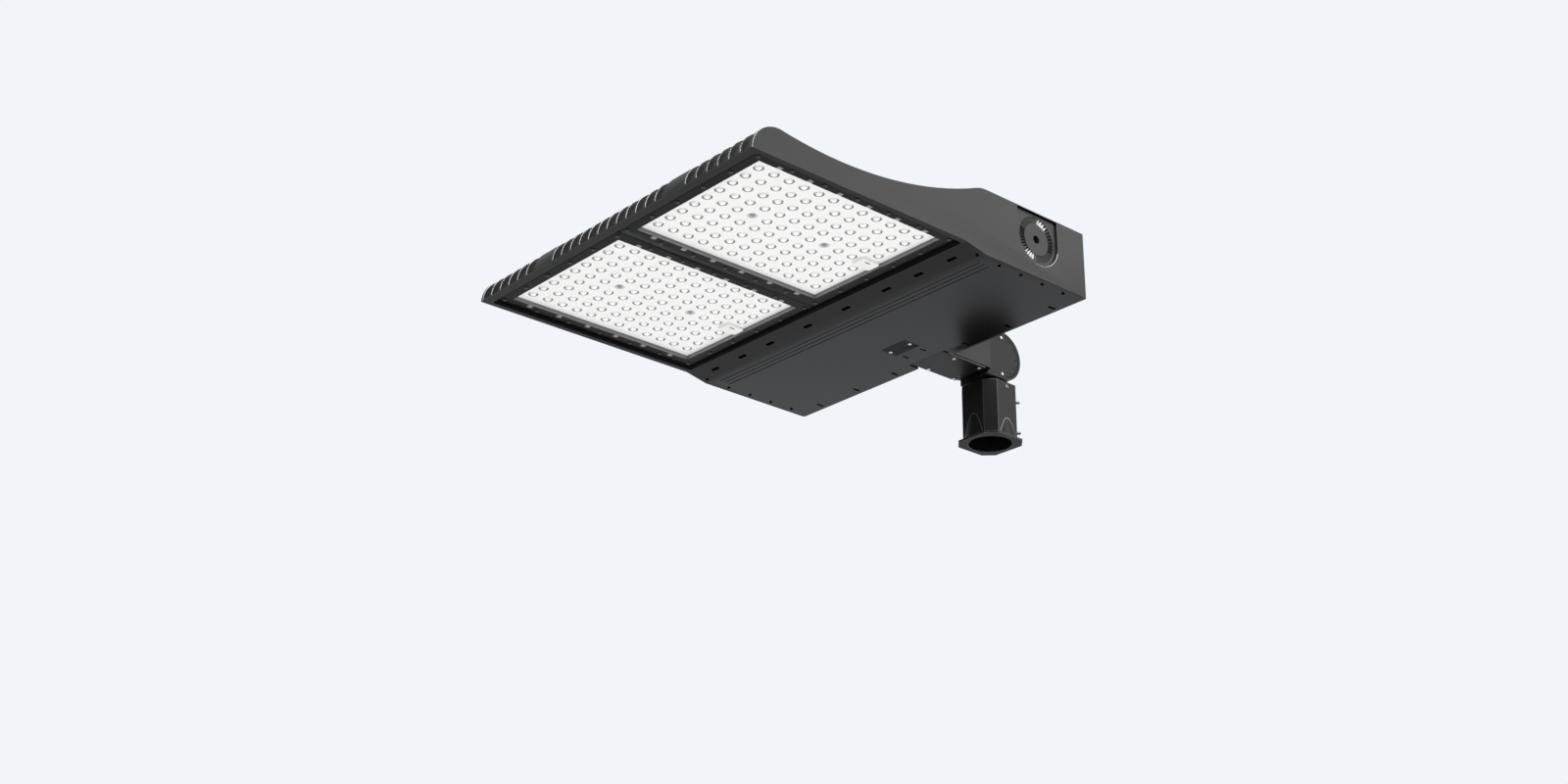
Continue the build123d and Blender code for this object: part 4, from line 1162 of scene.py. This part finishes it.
# %% Pale to the eye
PALE = np.array([0.879, 0.905, 0.947])


def pale_to_the_eye(nodes, links, lit, plain, share):
    """A shader with a share of the plain one for camera, glossy and clear rays, lit for others."""
    rays = nodes.new("ShaderNodeLightPath")
    seen = rays.outputs["Is Camera Ray"]
    for other in ("Is Transmission Ray", "Is Glossy Ray"):
        larger = nodes.new("ShaderNodeMath")
        larger.operation = "MAXIMUM"
        links.new(seen, larger.inputs[0])
        links.new(rays.outputs[other], larger.inputs[1])
        seen = larger.outputs["Value"]
    part = nodes.new("ShaderNodeMath")
    part.operation = "MULTIPLY"
    part.inputs[1].default_value = share
    links.new(seen, part.inputs[0])
    choose = nodes.new("ShaderNodeMixShader")
    links.new(part.outputs["Value"], choose.inputs["Fac"])
    links.new(lit.outputs[0], choose.inputs[1])
    links.new(plain.outputs[0], choose.inputs[2])
    return choose.outputs["Shader"]


# %% Floor and sky
FLOOR_LEVEL = -2.6
FLOOR_HALF = 60.0
FLOOR_TONE = 0.77
FLOOR_SHARE = 0.88
SKY_STRENGTH = 0.80
SKY_TINT = np.array([0.97, 0.985, 1.0])


def stage_floor():
    """A sheet far under everything, as wide as the eye can see, that joins the sky unseen.

    What it shows is a share of plain colour and the rest lit, so that it keeps the shadow. The
    plain colour is what is missing from the sky's pale tone where only the sky lights it.
    """
    mesh = bpy.data.meshes.new("floor")
    h, z = FLOOR_HALF, FLOOR_LEVEL
    mesh.from_pydata([(-h, -h, z), (h, -h, z), (h, h, z), (-h, h, z)], [], [(0, 1, 2, 3)])
    material, nodes, links, shader = new_material("floor_paper")
    shader.inputs["Base Color"].default_value = (FLOOR_TONE, FLOOR_TONE, FLOOR_TONE, 1)
    shader.inputs["Roughness"].default_value = 0.9
    shader.inputs["Specular IOR Level"].default_value = 0.0
    lit_by_sky = FLOOR_TONE * SKY_STRENGTH * SKY_TINT
    plain = nodes.new("ShaderNodeEmission")
    missing = (PALE - (1 - FLOOR_SHARE) * lit_by_sky) / FLOOR_SHARE
    plain.inputs["Color"].default_value = (*missing, 1)
    surface = pale_to_the_eye(nodes, links, shader, plain, FLOOR_SHARE)
    links.new(surface, nodes["Material Output"].inputs["Surface"])
    mesh.materials.append(material)
    floor = bpy.data.objects.new("floor", mesh)
    bpy.context.scene.collection.objects.link(floor)


def sky():
    """Pale background for what looks at it directly, and an even soft light for the rest."""
    world = bpy.data.worlds.new("studio")
    bpy.context.scene.world = world
    world.use_nodes = True
    nodes, links = world.node_tree.nodes, world.node_tree.links
    nodes.clear()
    light = nodes.new("ShaderNodeBackground")
    light.inputs["Color"].default_value = (*SKY_TINT, 1)
    light.inputs["Strength"].default_value = SKY_STRENGTH
    plain = nodes.new("ShaderNodeBackground")
    plain.inputs["Color"].default_value = (*PALE, 1)
    output = nodes.new("ShaderNodeOutputWorld")
    links.new(pale_to_the_eye(nodes, links, light, plain, 1.0), output.inputs["Surface"])


stage_floor()
sky()
print("floor at", FLOOR_LEVEL, "m, sky of strength", SKY_STRENGTH)

# %% [markdown]
# Three lamps add the direction: a large one high at the rear for the near side wall, a tall strip
# in front that draws the bright lines along the edges, and a high one that glints on the teeth.

# %% Lamps
def lamp(name, place, target, size, power):
    """A soft lamp of this width and height at a place in metres, aimed at the target."""
    data = bpy.data.lights.new(name, "AREA")
    data.shape = "RECTANGLE"
    data.size, data.size_y = size
    data.energy = power
    light = bpy.data.objects.new(name, data)
    light.location = place
    light.rotation_euler = (Vector(target) - Vector(place)).to_track_quat("-Z", "Y").to_euler()
    bpy.context.scene.collection.objects.link(light)


lamp("rear_lamp", (3.6, 2.6, 2.2), (0, -0.4, 0.1), (3.0, 3.0), 160)
lamp("strip_lamp", (2.6, -3.3, 0.9), (0.1, -0.4, 0.1), (0.8, 3.4), 50)
lamp("high_lamp", (1.7, -1.0, 2.8), (0.3, -0.3, 0.1), (2.1, 2.1), 250)
print("lamps:", [light.name for light in bpy.data.lights])

# %% [markdown]
# The camera stands where the photograph was taken: in front of the near side and well below the
# head, looking up at it. Its direction is given by an azimuth from the +Y axis, a pitch and a
# small roll, and its lens by the width of the picture.

# %% Camera
CAMERA_PLACE = (2.02934, -2.1990, -1.16622)
CAMERA_AZIMUTH = 48.946
CAMERA_PITCH = 22.834
CAMERA_ROLL = -0.474
CAMERA_LENS = 46.573


def camera_axes():
    """Right, up and back of a camera that looks up by the pitch, turned by the azimuth."""
    azimuth, pitch, roll = np.radians([CAMERA_AZIMUTH, CAMERA_PITCH, CAMERA_ROLL])
    level = np.array([-np.sin(azimuth), np.cos(azimuth), 0])
    ahead = np.cos(pitch) * level + np.array([0, 0, np.sin(pitch)])
    right = np.cross(ahead, (0, 0, 1))
    right /= np.linalg.norm(right)
    down = np.cross(ahead, right)
    turned_right = np.cos(roll) * right + np.sin(roll) * down
    turned_down = -np.sin(roll) * right + np.cos(roll) * down
    return np.column_stack([turned_right, -turned_down, -ahead])


camera_data = bpy.data.cameras.new("camera")
camera_data.lens = CAMERA_LENS
camera_data.sensor_width = 36.0
camera_data.clip_end = 60.0
camera = bpy.data.objects.new("camera", camera_data)
camera.matrix_world = Matrix.Translation(CAMERA_PLACE) @ Matrix(camera_axes().tolist()).to_4x4()
bpy.context.scene.collection.objects.link(camera)
bpy.context.scene.camera = camera
bpy.context.scene.view_settings.view_transform = "Standard"
print("camera at", CAMERA_PLACE, "with a lens of", CAMERA_LENS, "mm")
